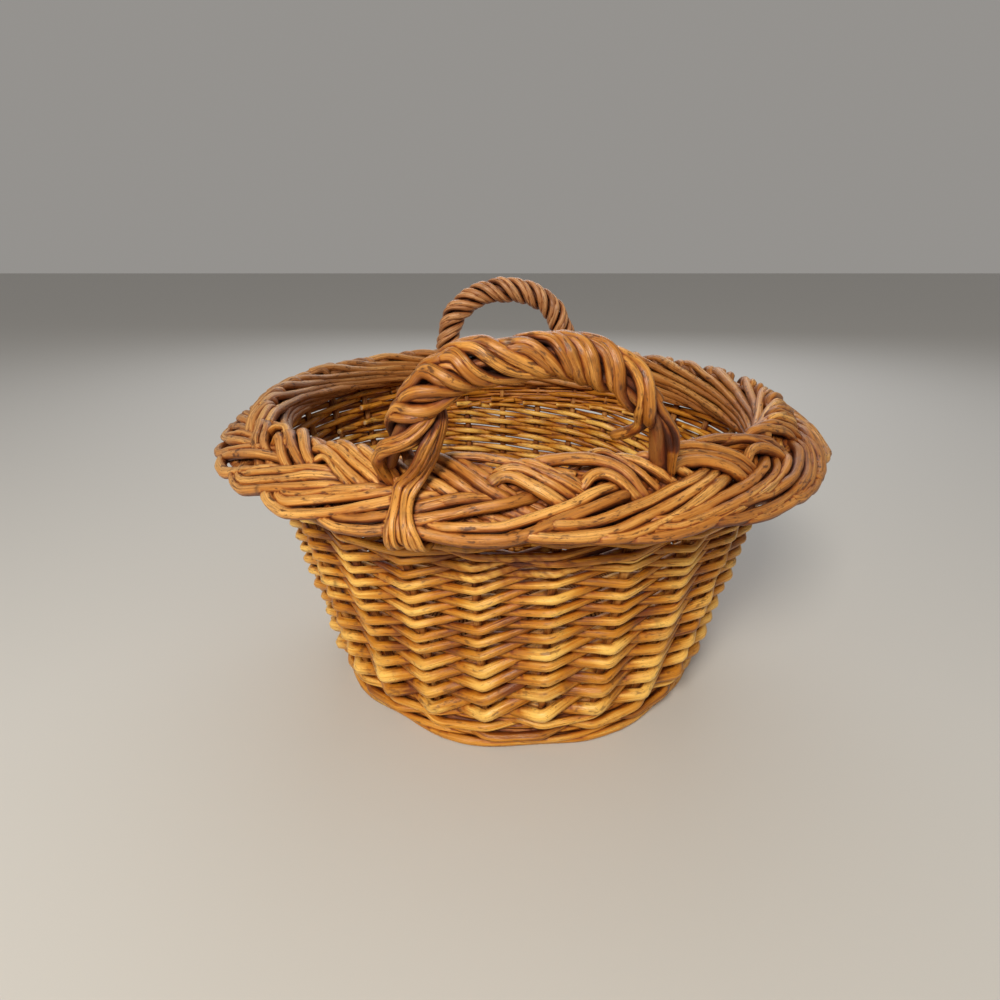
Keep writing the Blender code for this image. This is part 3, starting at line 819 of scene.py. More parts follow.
BORDER_FRONT = (
    (2.8, "U", ((-63.5, 12.0), (-62.4, 13.5), (-53.6, -1.2))),
    (2.7, "U", ((-59.8, 14.4), (-57.6, 14.2), (-50.4, 1.4))),
    (2.3, "U", ((-55.5, 12.4), (-54.8, 17.4), (-51.0, 20.6), (-47.4, 15.6), (-45.0, 6.0))),
    (2.8, "U", ((-51.2, 14.2), (-48.4, 11.2), (-42.2, 0.0))),
    (2.8, "U", ((-49.4, 18.8), (-47.0, 16.6), (-39.0, 3.2))),
    (2.8, "U", ((-46.4, 21.6), (-44.2, 20.0), (-36.4, 4.4))),
    (2.6, "U", ((-36.9, 9.2), (-35.2, 13.0), (-27.4, -0.8))),
    (2.8, "U", ((-38.6, 15.0), (-36.4, 16.4), (-33.2, 12.6), (-25.2, 1.0))),
    (2.8, "U", ((-36.8, 18.6), (-33.2, 18.4), (-29.4, 13.4), (-22.8, 3.8))),
    (2.7, "U", ((-35.2, 22.0), (-32.2, 21.4), (-28.6, 16.4), (-20.8, 6.2))),
    (2.8, "U", ((-30.0, 22.0), (-26.0, 17.5), (-17.4, 2.0))),
    (2.6, "U", ((-24.5, 22.0), (-22.0, 17.0), (-13.6, 2.0))),
    (2.9, "U", ((-20.4, 17.0), (-16.8, 10.4), (-9.8, 0.6))),
    (2.9, "U", ((-18.0, 20.4), (-15.4, 16.4), (-7.2, 3.8))),
    (3.0, "U", ((-16.0, 23.2), (-14.2, 21.4), (-4.6, 4.0))),
    (2.4, "U", ((-12.2, 22.0), (-10.6, 19.6), (-4.4, 8.8))),
    (2.4, "U", ((-13.6, 23.4), (-7.8, 23.8), (-1.6, 20.6), (2.8, 13.8), (8.0, 4.6))),
    (3.1, "U", ((-6.4, 8.2), (-4.4, 13.8), (-2.4, 13.6), (0.2, 8.4), (4.2, 0.0))),
    (2.9, "U", ((-5.0, 16.0), (-3.0, 18.2), (-0.6, 16.8), (3.0, 9.6), (5.8, 4.0))),
    (2.7, "U", ((-1.6, 20.6), (0.4, 20.2), (2.8, 15.8), (5.8, 11.4), (9.0, 4.6))),
    (2.8, "U", ((1.0, 20.8), (4.6, 22.6), (9.8, 22.8), (12.4, 19.8), (14.6, 13.6), (16.6, 2.2))),
    (2.8, "U", ((7.8, 8.6), (9.2, 13.4), (11.6, 14.2), (13.8, 8.8), (15.6, 1.0))),
    (1.9, "U", ((8.2, 22.0), (10.6, 27.0), (12.8, 27.2), (15.4, 19.6), (17.8, 9.4), (19.6, 2.0))),
    (2.7, "U", ((14.6, 23.0), (17.0, 20.0), (22.4, 5.0))),
    (2.6, "U", ((19.0, 22.6), (21.4, 18.4), (26.4, 6.4))),
    (2.8, "U", ((22.6, 13.8), (25.6, 15.6), (29.4, 13.6), (32.4, 7.8), (36.0, -3.0))),
    (2.9, "U", ((24.6, 24.4), (28.4, 23.6), (32.8, 19.0), (36.4, 11.6), (39.4, 1.0))),
    (2.5, "U", ((23.6, 19.6), (27.6, 19.4), (31.6, 15.4), (35.0, 8.6), (38.0, -1.0))),
    (2.6, "U", ((29.6, 24.6), (35.4, 24.0), (40.8, 20.6), (46.8, 14.0), (50.8, 6.0))),
    (3.0, "U", ((38.6, 8.0), (40.6, 12.0), (43.8, 11.6), (47.2, 5.4), (49.4, -4.0))),
    (2.6, "U", ((37.0, 22.4), (41.4, 19.6), (46.4, 11.0), (49.4, 1.0))),
    (2.7, "U", ((47.6, 21.6), (51.4, 19.6), (56.8, 11.6), (60.4, 1.4))),
    (2.5, "U", ((52.6, 20.8), (55.6, 18.4), (60.8, 9.4), (64.0, -1.4))),
    (2.7, "L", ((-65.0, -14.8), (-63.0, -16.0), (-58.6, -8.4), (-48.2, 2.4))),
    (2.9, "L", ((-64.0, -17.8), (-61.6, -21.6), (-57.2, -21.4), (-53.0, -15.6), (-43.2, -1.2))),
    (2.7, "L", ((-53.4, -12.8), (-51.4, -15.0), (-48.6, -11.8), (-42.8, -3.8), (-33.6, 5.6))),
    (2.8, "L", ((-53.0, -14.6), (-50.4, -18.2), (-47.4, -16.4), (-37.2, -2.8), (-31.8, 3.2))),
    (2.9, "L", ((-54.8, -17.4), (-52.0, -21.4), (-48.0, -22.4), (-41.4, -14.6), (-33.0, -5.4), (-28.6, -1.0))),
    (2.7, "L", ((-40.0, -10.2), (-38.0, -14.0), (-35.0, -11.6), (-21.4, 2.6))),
    (2.8, "L", ((-39.8, -13.4), (-37.4, -17.4), (-34.2, -15.4), (-21.0, 0.0), (-18.0, 3.4))),
    (3.0, "L", ((-42.4, -16.6), (-40.2, -20.8), (-36.2, -23.2), (-32.2, -20.8), (-25.8, -13.4), (-18.4, -4.0), (-14.0, 2.0))),
    (2.7, "L", ((-29.0, -15.4), (-26.6, -17.4), (-23.0, -16.4), (-17.6, -10.4), (-9.6, 0.8))),
    (2.6, "L", ((-29.6, -19.6), (-27.0, -22.6), (-22.0, -21.8), (-14.4, -13.4), (-5.6, -1.6))),
    (2.8, "L", ((-19.0, -9.4), (-15.4, -5.6), (-10.4, 0.0), (-6.2, 3.0))),
    (3.1, "L", ((-19.0, -15.6), (-14.8, -12.6), (-9.4, -7.4), (-4.2, -2.2), (-1.0, 2.8))),
    (2.7, "L", ((-14.4, -13.2), (-11.2, -14.8), (-4.0, -13.6), (1.0, -7.6), (6.6, -0.4), (12.2, 6.8))),
    (2.8, "L", ((-17.4, -16.0), (-13.8, -18.8), (-8.8, -20.8), (-4.0, -20.4), (0.0, -15.8), (5.0, -7.8), (9.6, -3.0), (14.6, 3.4))),
    (2.7, "L", ((1.6, -11.4), (4.6, -12.4), (8.2, -11.6), (14.0, -5.6), (20.6, 0.6), (25.0, 4.2), (29.6, 8.4))),
    (2.8, "L", ((-2.0, -16.4), (1.4, -18.2), (5.8, -18.4), (10.6, -16.8), (14.8, -11.6), (19.8, -6.0), (26.8, 1.4), (30.4, 6.2))),
    (2.6, "L", ((8.4, -19.4), (11.6, -20.0), (14.8, -17.6), (18.8, -13.6), (25.6, -5.4), (32.0, 2.0))),
    (2.7, "L", ((16.4, -13.2), (19.6, -13.8), (27.4, -8.8), (36.4, -3.6), (44.2, 3.4))),
    (2.6, "L", ((15.4, -17.0), (19.4, -19.0), (26.8, -14.6), (36.6, -9.6), (42.6, -5.0), (47.0, 1.6))),
    (2.4, "L", ((12.6, -20.6), (16.6, -22.0), (21.8, -20.4), (29.8, -15.2), (38.6, -10.2), (46.0, -5.0), (51.0, 1.0))),
    (2.7, "L", ((27.4, -12.6), (30.6, -14.6), (38.0, -13.0), (47.0, -10.6), (53.4, -5.4), (58.2, 1.6))),
    (2.7, "L", ((25.4, -18.8), (28.8, -20.4), (35.2, -20.6), (42.0, -18.6), (50.4, -14.2), (56.6, -7.6), (61.6, 1.0))),
    (2.4, "L", ((30.4, -22.0), (35.6, -23.4), (42.6, -21.6), (50.0, -17.6), (58.4, -9.8), (64.6, 0.4))),
    (2.7, "L", ((41.0, -19.6), (44.4, -22.4), (51.2, -21.6), (58.8, -15.0), (68.2, -1.4))),
    (2.6, "L", ((45.8, -21.4), (50.0, -23.4), (57.0, -20.0), (64.0, -12.2), (71.8, 0.0))),
)

border_pieces = [
    Piece(f"border_rods_{n}", MAT["border"], "willow_border", [f"border_strand_{n}"]) for n in (1, 2, 3)
]


def border_look(t=0.0):
    # rods on the right of the near border, from 20 to 80 degrees, get a darker tone: painted shade on the side away
    # from the key light
    tone = rng.uniform(-0.3, 0.4) if 20 < t < 80 else rng.uniform(0.2, 1.0)
    return dict(tone=tone, red=rng.uniform(0.0, 0.45), taper=(1.05, 0.93) if rng.random() < 0.5 else (0.94, 1.05))


for j, (u, w) in enumerate(((-14.5, -3.2), (-9.0, -3.8), (-3.2, -3.6), (2.6, -3.7), (8.4, -3.9), (14.2, -4.0), (18.6, -3.4))):
    for part in range(3):       # inner runs of the strands, under all the strokes
        turn = np.linspace(0, TAU / 3 + 0.02, 200) + TAU * part / 3
        across = (u + 1.8 * np.sin(turn * 24 + 2.1 * j) + drift(200, 12, 0.7)) / 1000
        border_pieces[(part + j) % 3].rod(
            border_point(turn, across, (w + drift(200, 12, 0.3)) / 1000), 0.0027, sides=8, step=0.0030,
            knots=0.09, red=0.3, tone=0.35,
        )
for r, kind, stations in BORDER_FRONT:
    which = int(math.floor((stations[0][0] + 600) / 15.0)) % 3
    lay_rod(border_pieces[which], kind, stations, r, **border_look(stations[0][0]))
group = 0
for theta in np.arange(64.0, 292.0, 15.0):
    for j in range(3):
        t = theta + 4.5 * j + rng.normal(0, 0.5)
        lean = rng.uniform(3.0, 4.4)
        inner = rng.uniform(19.5, 22.5) - (1.5 if j == 0 else 0.0)
        lay_rod(
            border_pieces[group % 3], "U",
            ((t - lean - 1.4, inner), (t - lean, inner - 1.2), (t + lean, 4.0 + rng.normal(0, 0.8))),
            rng.uniform(2.5, 3.0), **border_look(),
        )
        t = theta + 5.0 * j - 4.0 + rng.normal(0, 0.5)
        outer = rng.uniform(-22.5, -19.5) + (4.0 if j == 1 else 0.0)
        lay_rod(
            border_pieces[(group + 1) % 3], "L",
            ((t - 8.4, outer + 3.2), (t - 6.4, outer), (t - 3.4, outer + 0.8), (t + 11.0, 2.0 + rng.normal(0, 0.8))),
            rng.uniform(2.5, 3.0), **border_look(),
        )
    group += 1
# long rods of the strands, rising along the border's inner side to its crest
INNER_WAY = np.array((
    (-68.0, 0.1668, 0.1735), (-62.0, 0.1622, 0.1745), (-45.0, 0.1612, 0.1815), (-30.0, 0.1616, 0.1885),
    (-15.0, 0.1624, 0.1955), (-5.0, 0.1642, 0.2014), (0.0, 0.1668, 0.2052), (3.5, 0.1704, 0.2066), (8.0, 0.1760, 0.2040),
))
for i in range(31):
    g = np.linspace(-68.0, 8.0, 210)
    turn = 360 / 31 * i + rng.normal(0, 1.2) + g
    inward = np.interp(g, INNER_WAY[:, 0], INNER_WAY[:, 1]) - (0.0, 0.0008, -0.0004)[i % 3] + drift(210, 24, 0.0004)
    height = np.interp(g, INNER_WAY[:, 0], INNER_WAY[:, 2]) + drift(210, 30, 0.0006)
    front = np.abs(np.mod(turn + 180, 360) - 180)
    height = height - 0.0040 * np.clip((76 - front) / 20, 0, 1)
    narrow = np.clip((np.mod(turn, 360) - 185) / 25, 0, 1) * np.clip((300 - np.mod(turn, 360)) / 20, 0, 1)
    height = height + 0.40 * narrow * np.clip(0.2020 - height, 0, 1)
    border_pieces[i % 3].rod(
        blurred(polar(np.radians(turn), inward, height), 4.0), rng.uniform(0.0027, 0.0032), sides=10, step=0.0026,
        knots=0.08, red=rng.uniform(0.0, 0.3), tone=rng.uniform(0.55, 1.3), lump=0.06, ridge=0.03,
    )


# -------------------------------------------------------------------- handles
def arch_curve(points):
    """Evenly spaced smooth line through (x, z) points of a handle's middle."""
    pts = np.array(points, float)
    d = np.concatenate(((0.0,), np.cumsum(np.hypot(*np.diff(pts, axis=0).T))))
    s = np.linspace(0, d[-1], 260)
    xz = np.stack((np.interp(s, d, pts[:, 0]), np.interp(s, d, pts[:, 1])), 1)
    return blurred(xz, 9.0), s


def place_local(turn, x, y, z):
    """x along the rim to the right seen from outside, y out from the axis."""
    out = np.array((math.sin(turn), -math.cos(turn), 0.0))
    along = np.array((math.cos(turn), math.sin(turn), 0.0))
    return x[:, None] * along + y[:, None] * out + z[:, None] * np.array((0, 0, 1.0))


FRONT_ARCH = (
    (-0.0610, 0.2060), (-0.0590, 0.2156), (-0.0540, 0.2280), (-0.0492, 0.2378), (-0.0425, 0.2470),
    (-0.0325, 0.2530), (-0.0191, 0.2565), (-0.0040, 0.2582), (0.0120, 0.2582),
    (0.0252, 0.2562), (0.0369, 0.2515), (0.0460, 0.2440), (0.0538, 0.2345),
    (0.0588, 0.2235), (0.0618, 0.2140), (0.0625, 0.2030),
)
BACK_ARCH = (
    (-0.0575, 0.2030), (-0.0570, 0.2140), (-0.0540, 0.2270), (-0.0475, 0.2395), (-0.0370, 0.2500),
    (-0.0230, 0.2570), (-0.0070, 0.2600), (0.0090, 0.2600), (0.0240, 0.2565),
    (0.0375, 0.2490), (0.0480, 0.2385), (0.0540, 0.2270), (0.0565, 0.2140), (0.0570, 0.2030),
)


def handle(prefix, turn, points, beats, ropes, rods, slack_at, slack, bow_r, bow_wide, ends, age):
    xz, s = arch_curve(points)
    x, z = xz[:, 0], xz[:, 1]
    tx, tz = np.gradient(x, s), np.gradient(z, s)
    m = np.hypot(tx, tz)
    tx, tz = tx / m, tz / m
    y = np.full_like(x, PLANE_Y)
    ROPE_MIDDLE[prefix] = place_local(turn, x, y, z)
    bow = Piece(f"{prefix}_handle_bow_rod", MAT["bow"], "willow_bow", [f"{prefix}_handle_bow"])
    bow.rod(place_local(turn, x, y, z), bow_wide, sides=12, step=0.003, red=0.9, knots=0.05, age=age)
    outer = Piece(
        f"{prefix}_handle_wrap_rods_outer", MAT["far_wrap"], "willow_wrap", [f"{prefix}_handle_wrap_outer"]
    )
    inner = Piece(
        f"{prefix}_handle_wrap_rods_inner", MAT["far_wrap"], "willow_wrap", [f"{prefix}_handle_wrap_inner"]
    )
    at, number = zip(*beats)
    index = blurred(np.interp(s - START, at, number), 5.0)
    room = np.interp(s, slack_at, slack)
    for strand in range(ropes):
        wander = drift(len(s), 50, 0.05)
        for j, (shift, r_at, r_is, tuck) in enumerate(rods):
            n = len(s)
            r = np.interp(s, r_at, r_is) * rng.uniform(0.94, 1.06)
            psi = -TAU * (index - strand - shift) / ropes + wander + drift(n, 60, 0.04)
            rr = bow_r + r + room - tuck + drift(n, 26, 0.0005)
            px = x - tz * rr * np.sin(psi)
            pz = z + tx * rr * np.sin(psi)
            py = y + rr * np.cos(psi)
            path = place_local(turn, px, py, pz)
            first, last = 0, n
            left, right = ends(strand, j, turn, psi)
            if left is not None:
                first, foot_path = left
                path = np.concatenate((foot_path, path[first:]))
                r = np.concatenate((np.full(len(foot_path), r[first]), r[first:]))
            if right is not None:
                back, foot_path = right
                path = np.concatenate((path[: len(path) - back], foot_path))
                r = np.concatenate((r[: len(r) - back], np.full(len(foot_path), r[-back - 1])))
            d = np.concatenate(((0.0,), np.cumsum(np.linalg.norm(np.diff(path, axis=0), axis=1))))
            whole, along = even(path, 0.0012)
            whole = blurred(whole, 3.2)
            target = outer if strand < (ropes + 1) // 2 else inner
            target.rod(
                whole, np.interp(np.linspace(0, d[-1], 90), d, r), sides=12, step=0.0022,
                red=rng.uniform(0.2, 0.9), knots=0.07, age=age, lump=0.08, ridge=0.03,
            )
    return outer, inner


ROPE_MIDDLE = {}
START = 0.0095            # length of the arch below the first point that shows


def on_border(turn, stations):
    """Points laid over the plait: (angle, across, lift), lengths in mm."""
    t, u, w = (np.array(column, float) for column in zip(*stations))
    return border_point(turn + t, u / 1000, w / 1000)


def over_border(angles, turn, spread):
    """From under the border, out round its edge and up over its face."""
    surface = (
        (-8.0, -9.5), (-17.0, -9.0), (-23.0, -5.5), (-24.5, 0.8), (-21.5, 6.2), (-16.0, 8.2),
        (-8.0, 8.4), (0.0, 8.6), (8.0, 9.6),
    )
    return on_border(turn, [(t + spread, u, w) for t, (u, w) in zip(angles, surface)])


FIRST_OVER = (-0.286, -0.292, -0.300, -0.3065, -0.3170, -0.3217, -0.3284, -0.3296, -0.3256)


def back_ends(strand, j, turn, psi):
    left = right = None
    if strand == 2:
        left = (8, over_border([t + 0.02 for t in FIRST_OVER], turn, 0.018 * (j - 1)))
    if strand == 0:
        right = (8, over_border([0.30 - 0.004 * i for i in range(9)], turn, 0.018 * (j - 1))[::-1])
    return left, right


# strokes of the near handle: radius, then (x, distance from the axis, z) in mm
FRONT_STROKES = (
    (2.3, ((-71.7, 179.7, 214.6), (-70.0, 179.7, 218.7), (-62.4, 189.3, 222.3), (-55.5, 190.9, 224.6), (-50.5, 190.6, 229.4), (-47.5, 190.1, 231.9))),
    (2.6, ((-71.9, 179.7, 211.8), (-69.7, 181.9, 216.8), (-61.6, 190.2, 219.0), (-53.7, 190.6, 222.0), (-48.1, 189.1, 225.8), (-44.7, 188.3, 230.5))),
    (2.0, ((-66.6, 188.1, 215.0), (-60.7, 190.5, 218.6), (-52.0, 189.8, 220.2), (-45.6, 186.3, 224.1), (-41.6, 184.8, 230.5), (-39.9, 183.3, 232.3))),
    (2.6, ((-61.8, 185.1, 234.1), (-63.1, 179.7, 235.0), (-59.3, 185.5, 238.6), (-55.0, 189.7, 237.1), (-50.1, 190.8, 236.9), (-43.9, 189.7, 237.0), (-39.3, 187.9, 239.2), (-33.9, 184.7, 241.1))),
    (2.7, ((-62.3, 185.3, 232.8), (-58.0, 189.5, 231.8), (-53.2, 190.9, 231.7), (-45.8, 189.5, 232.4), (-39.6, 185.7, 235.2), (-34.9, 183.5, 239.5), (-31.1, 180.7, 241.6))),
    (2.5, ((-54.5, 188.4, 241.5), (-49.0, 189.6, 245.2), (-40.6, 190.2, 245.3), (-34.5, 187.9, 243.9), (-23.7, 179.7, 243.0), (-18.0, 179.7, 243.9))),
    (2.2, ((-55.8, 188.3, 239.7), (-54.0, 188.9, 241.2), (-48.3, 190.7, 239.9), (-43.7, 190.2, 240.6), (-36.3, 188.2, 242.9), (-32.0, 186.7, 244.1))),
    (2.7, ((-52.3, 185.6, 248.6), (-52.5, 179.7, 251.3), (-49.8, 179.7, 254.5), (-44.3, 186.0, 255.4), (-39.5, 189.4, 253.1), (-34.2, 189.8, 248.8), (-23.7, 179.7, 243.9))),
    (2.5, ((-51.3, 189.1, 244.2), (-51.3, 187.6, 247.3), (-48.7, 185.9, 252.0), (-45.1, 188.7, 251.3), (-40.5, 190.3, 247.9), (-34.3, 188.9, 245.9))),
    (2.7, ((-39.5, 187.6, 256.5), (-37.7, 183.1, 260.7), (-34.1, 180.2, 262.7), (-31.3, 187.2, 260.2), (-27.8, 189.6, 256.1), (-21.6, 188.6, 251.3), (-12.4, 179.7, 246.7), (-2.8, 179.7, 247.8))),
    (2.7, ((-36.6, 187.9, 257.4), (-34.1, 186.0, 260.4), (-30.4, 189.5, 256.0), (-27.0, 189.6, 252.3), (-22.6, 186.6, 248.2), (-14.1, 179.7, 245.8))),
    (1.9, ((-38.7, 189.1, 254.3), (-34.0, 189.0, 256.4), (-28.7, 189.6, 251.5), (-23.5, 185.7, 247.0))),
    (3.0, ((-29.2, 182.9, 263.6), (-26.2, 179.7, 265.8), (-21.7, 181.9, 265.4), (-16.2, 187.3, 262.6), (-7.1, 188.9, 258.6), (0.3, 188.1, 255.0), (5.9, 183.6, 250.3))),
    (3.0, ((-28.6, 186.7, 261.3), (-25.7, 186.2, 262.5), (-21.5, 189.1, 258.6), (-16.2, 189.2, 255.2), (-6.9, 185.8, 250.8), (7.6, 179.7, 248.2))),
    (2.9, ((-12.0, 186.9, 263.4), (-7.0, 183.6, 266.2), (-1.6, 185.3, 265.2), (3.7, 188.0, 261.1), (8.4, 188.0, 255.8), (14.5, 179.7, 248.7))),
    (2.5, ((-11.2, 188.5, 260.8), (-7.5, 188.0, 261.9), (-1.7, 188.5, 260.4), (4.7, 188.2, 255.8), (8.4, 184.5, 250.9))),
    (2.6, ((0.9, 183.0, 266.5), (4.1, 179.7, 267.3), (7.6, 183.1, 266.1), (10.3, 187.2, 262.2), (13.0, 188.2, 256.6), (16.6, 183.9, 250.0))),
    (2.9, ((7.0, 179.7, 267.3), (9.5, 179.7, 267.9), (13.1, 183.1, 265.7), (16.6, 187.8, 260.3), (19.4, 187.6, 253.8), (22.0, 179.7, 245.2))),
    (3.1, ((12.1, 179.7, 267.3), (15.4, 179.7, 268.3), (19.7, 179.7, 266.5), (22.9, 186.4, 261.7), (25.8, 188.0, 253.9), (28.7, 179.7, 243.0))),
    (2.5, ((14.0, 182.2, 266.0), (17.2, 183.7, 265.0), (21.0, 188.0, 258.4), (23.6, 185.5, 249.9), (27.0, 179.7, 242.1))),
    (3.1, ((22.7, 179.7, 265.6), (25.6, 179.7, 266.5), (29.9, 179.7, 265.0), (34.3, 183.6, 260.4), (35.7, 187.8, 253.9), (35.7, 186.1, 245.3), (41.4, 179.7, 236.3))),
    (2.6, ((23.3, 182.6, 264.4), (26.2, 182.8, 263.6), (30.1, 186.6, 259.3), (32.3, 187.9, 251.2), (34.8, 184.4, 244.0))),
    (2.9, ((36.7, 181.7, 260.1), (40.0, 179.7, 260.4), (43.6, 179.7, 258.9), (48.2, 179.7, 254.3), (49.7, 185.5, 247.9), (50.8, 187.6, 240.0), (51.7, 187.0, 231.5))),
    (2.4, ((36.2, 185.3, 258.2), (39.3, 184.9, 256.9), (42.5, 186.9, 251.8), (45.6, 187.9, 244.8), (46.0, 186.9, 238.1), (45.6, 183.0, 231.0), (41.5, 176.5, 225.0), (36.6, 171.6, 220.4), (34.9, 169.6, 217.6), (37.6, 167.0, 216.0), (43.0, 165.6, 216.2), (47.9, 165.2, 217.6), (51.6, 168.6, 221.6), (53.7, 173.0, 227.0), (54.6, 177.0, 233.0))),
    (2.0, ((48.1, 183.5, 251.6), (51.6, 185.4, 246.0), (55.0, 186.6, 238.9), (59.1, 186.3, 232.0), (65.8, 182.2, 223.9), (65.9, 184.2, 218.4), (64.3, 185.8, 212.9))),
    (1.8, ((55.7, 187.3, 233.8), (58.5, 187.2, 227.5), (60.0, 187.1, 221.6), (61.8, 186.6, 215.5), (63.5, 186.0, 211.1))),
)
STROKES = (
    (0, 1, 2), (3, 4), (5, 6), (7, 8), (9, 10, 11), (12, 13), (14, 15), (16, 17), (18, 19), (20, 21), (22, 23), (24, 25)
)
# by how much each lies deeper in the rope than the top ones
SUNK = np.array((
    0.5, 0.0, 1.8, 0.0, 0.5, 0.0, 1.0, 0.0, 0.5, 0.0, 0.4, 2.2, 0.0, 0.2, 0.0, 0.7, 0.4, 0.0, 0.0, 1.0, 0.0, 0.9, 0.1, 0.8, 0.0, 0.5
)) / 1000
ROPE_AT = (0.0, 0.03, 0.07, 0.10, 0.14, 0.165, 0.185, 0.21)
ROPE_RHO = (0.0112, 0.0112, 0.0098, 0.0086, 0.0082, 0.0075, 0.0060, 0.0050)


def near_handle():
    xz, s = arch_curve(FRONT_ARCH)
    low = xz[0] + (xz[0] - xz[8]) / np.linalg.norm(xz[0] - xz[8]) * np.linspace(0.03, 0.0005, 40)[:, None]
    xz = np.concatenate((low, xz))
    s = np.concatenate((-np.linspace(0.03, 0.0005, 40), s))
    t = np.gradient(xz, axis=0)
    t /= np.linalg.norm(t, axis=1, keepdims=True)
    normal = np.stack((-t[:, 1], t[:, 0]), 1)

    def surface(at, phi, rho):
        x = np.interp(at, s, xz[:, 0]) + rho * np.sin(phi) * np.interp(at, s, normal[:, 0])
        z = np.interp(at, s, xz[:, 1]) + rho * np.sin(phi) * np.interp(at, s, normal[:, 1])
        return np.stack((x, -(PLANE_Y + rho * np.cos(phi)), z), 1)

    def wound(point, sense, turn, rate, sink, sink_over):
        i = ((xz - point[[0, 2]]) ** 2).sum(1).argmin()
        h, d = float((point[[0, 2]] - xz[i]) @ normal[i]), -point[1] - PLANE_Y
        phi0, rho0 = math.atan2(h, d), math.hypot(h, d)
        g = np.linspace(0.06, turn, 24)
        at = s[i] - sense * rate * g
        rho = np.interp(at, ROPE_AT, ROPE_RHO)
        rho = rho0 + (rho - 0.0022 - rho0) * np.clip(g / 0.8, 0, 1)
        rho = rho - sink * np.clip((g - (turn - sink_over)) / sink_over, 0, 1)
        return surface(at, phi0 + sense * g, rho), phi0

    def drawn_in(P, r, j):
        P = P.copy()
        for q in P[: 46 if j == 23 else None]:
            i = ((xz - q[[0, 2]]) ** 2).sum(1).argmin()
            h = float((q[[0, 2]] - xz[i]) @ normal[i])
            room = np.interp(s[i], (0.0, 0.03, 0.06, 0.15, 0.19), (0.0126, 0.0120, 0.0115, 0.0113, 0.0106)) - r - SUNK[j]
            h_new = h / (1 + (abs(h) / room) ** 7) ** (1 / 7)
            q[[0, 2]] = xz[i] + normal[i] * h_new
            q[1] = -PLANE_Y - math.sqrt(max(room * room - h_new * h_new, 0.0)) * (0.36 if j > 23 else 1.0)
        return blurred(P, 1.2)

    def leaned(P, part):
        """The lower legs lean in over the basket's mouth."""
        P = P.copy()
        right = np.clip((0.2360 - P[:, 2]) / 0.0300, 0, 1.3) * (P[:, 0] > 0) * 0.0137
        left = np.clip((0.2240 - P[:, 2]) / 0.0240, 0, 1.2) * (P[:, 0] < 0) * 0.0115
        P[:, 1] += part * (right + left)
        P[:, 0] += part * 0.25 * right
        return P

    ROPE_MIDDLE["front"] = np.stack((xz[:, 0], np.full(len(xz), -PLANE_Y), xz[:, 1]), 1)
    bow = Piece("front_handle_bow_rod", MAT["bow"], "willow_bow", ["front_handle_bow"])
    outer = Piece("front_handle_wrap_rods_outer", MAT["wrap"], "willow_wrap", ["front_handle_wrap_outer"])
    inner = Piece("front_handle_wrap_rods_inner", MAT["wrap"], "willow_wrap", ["front_handle_wrap_inner"])
    line = np.array((
        (-0.0700, 0.1960), (-0.0675, 0.2031), (-0.0647, 0.2099), (-0.0609, 0.2194), (-0.0569, 0.2273),
        (-0.0530, 0.2338), (-0.0470, 0.2415), (-0.0400, 0.2475), (-0.0300, 0.2525), (-0.0180, 0.2560),
        (-0.0040, 0.2580), (0.0120, 0.2580), (0.0252, 0.2555), (0.0360, 0.2505), (0.0445, 0.2440),
        (0.0510, 0.2380), (0.0548, 0.2320), (0.0568, 0.2260), (0.0575, 0.2190), (0.0580, 0.2118),
        (0.0586, 0.2030), (0.0590, 0.1950),
    ))
    path = even(np.stack((line[:, 0], np.full(len(line), -PLANE_Y), line[:, 1]), 1), 0.001)[0]
    path = leaned(path, 1.0)
    bow.rod(
        blurred(path, 4.0), (0.0038, 0.0038, 0.0038, 0.0038, 0.0040, 0.0044, 0.0044), sides=14, step=0.003,
        red=0.9, knots=0.05, flat=0.10, tone=0.35,
    )
    for j in range(4):      # rods that run along the bow under the strokes
        at = np.linspace(0.034, 0.150, 90)
        phi = TAU * (j + 0.5) / 4 + 0.6 * at / 0.05
        inner.rod(surface(at, phi, 0.0054), 0.0023, sides=8, step=0.003, knots=0.1, red=0.6, tone=0.2)
    lines = []
    for j, (r, points) in enumerate(FRONT_STROKES):
        P = np.array(points, float) / 1000 * np.array((1.0, -1.0, 1.0))
        P = blurred(even(P, 0.0012)[0], 1.4)
        lines.append(drawn_in(P, r / 1000, j))
    for pair in STROKES:
        before = [lines[j].copy() for j in pair]
        for j in pair[:2]:
            pull = np.zeros_like(lines[j])
            for other in (before[i] for i, k in enumerate(pair) if k != j and i < 2):
                gap = other[((lines[j][:, None] - other[None]) ** 2).sum(2).argmin(1)] - lines[j]
                far = np.linalg.norm(gap, axis=1, keepdims=True)
                pull += gap / np.maximum(far, 1e-6) * np.clip(far - 0.0030, 0, 0.0011)
            lines[j] = lines[j] + blurred(pull, 3.0)
    for j, (r, points) in enumerate(FRONT_STROKES):
        P = lines[j]
        head, phi0 = wound(P[0], 1.0, 2.75, 0.0085, 0.0030, 0.7)
        if math.degrees(phi0) < 47:
            head, _ = wound(P[0], 1.0, 1.1, 0.0110, 0.0050, 1.1)
        tail, phi1 = wound(P[-1], -1.0, 1.3, 0.0100, 0.0045, 0.9)
        if math.degrees(phi1) > -60:
            tail, _ = wound(P[-1], -1.0, 0.9, 0.0100, 0.0050, 0.9)
        parts = [head[::-1], P]
        if j not in (23, 24, 25):
            parts.append(tail)
        elif j > 23:
            parts.append(P[-1] + np.array(((0.0, 0.001, -0.006), (0.001, 0.002, -0.014))))
        whole = blurred(even(np.concatenate(parts), 0.0010)[0], 4.0 if j > 23 else 2.2)
        if P[:, 0].mean() > 0.02:
            whole = leaned(whole, 0.75)
        n = len(whole)
        whole = whole + np.stack((drift(n, 18, 0.0003), drift(n, 18, 0.0003), drift(n, 18, 0.0003)), 1)
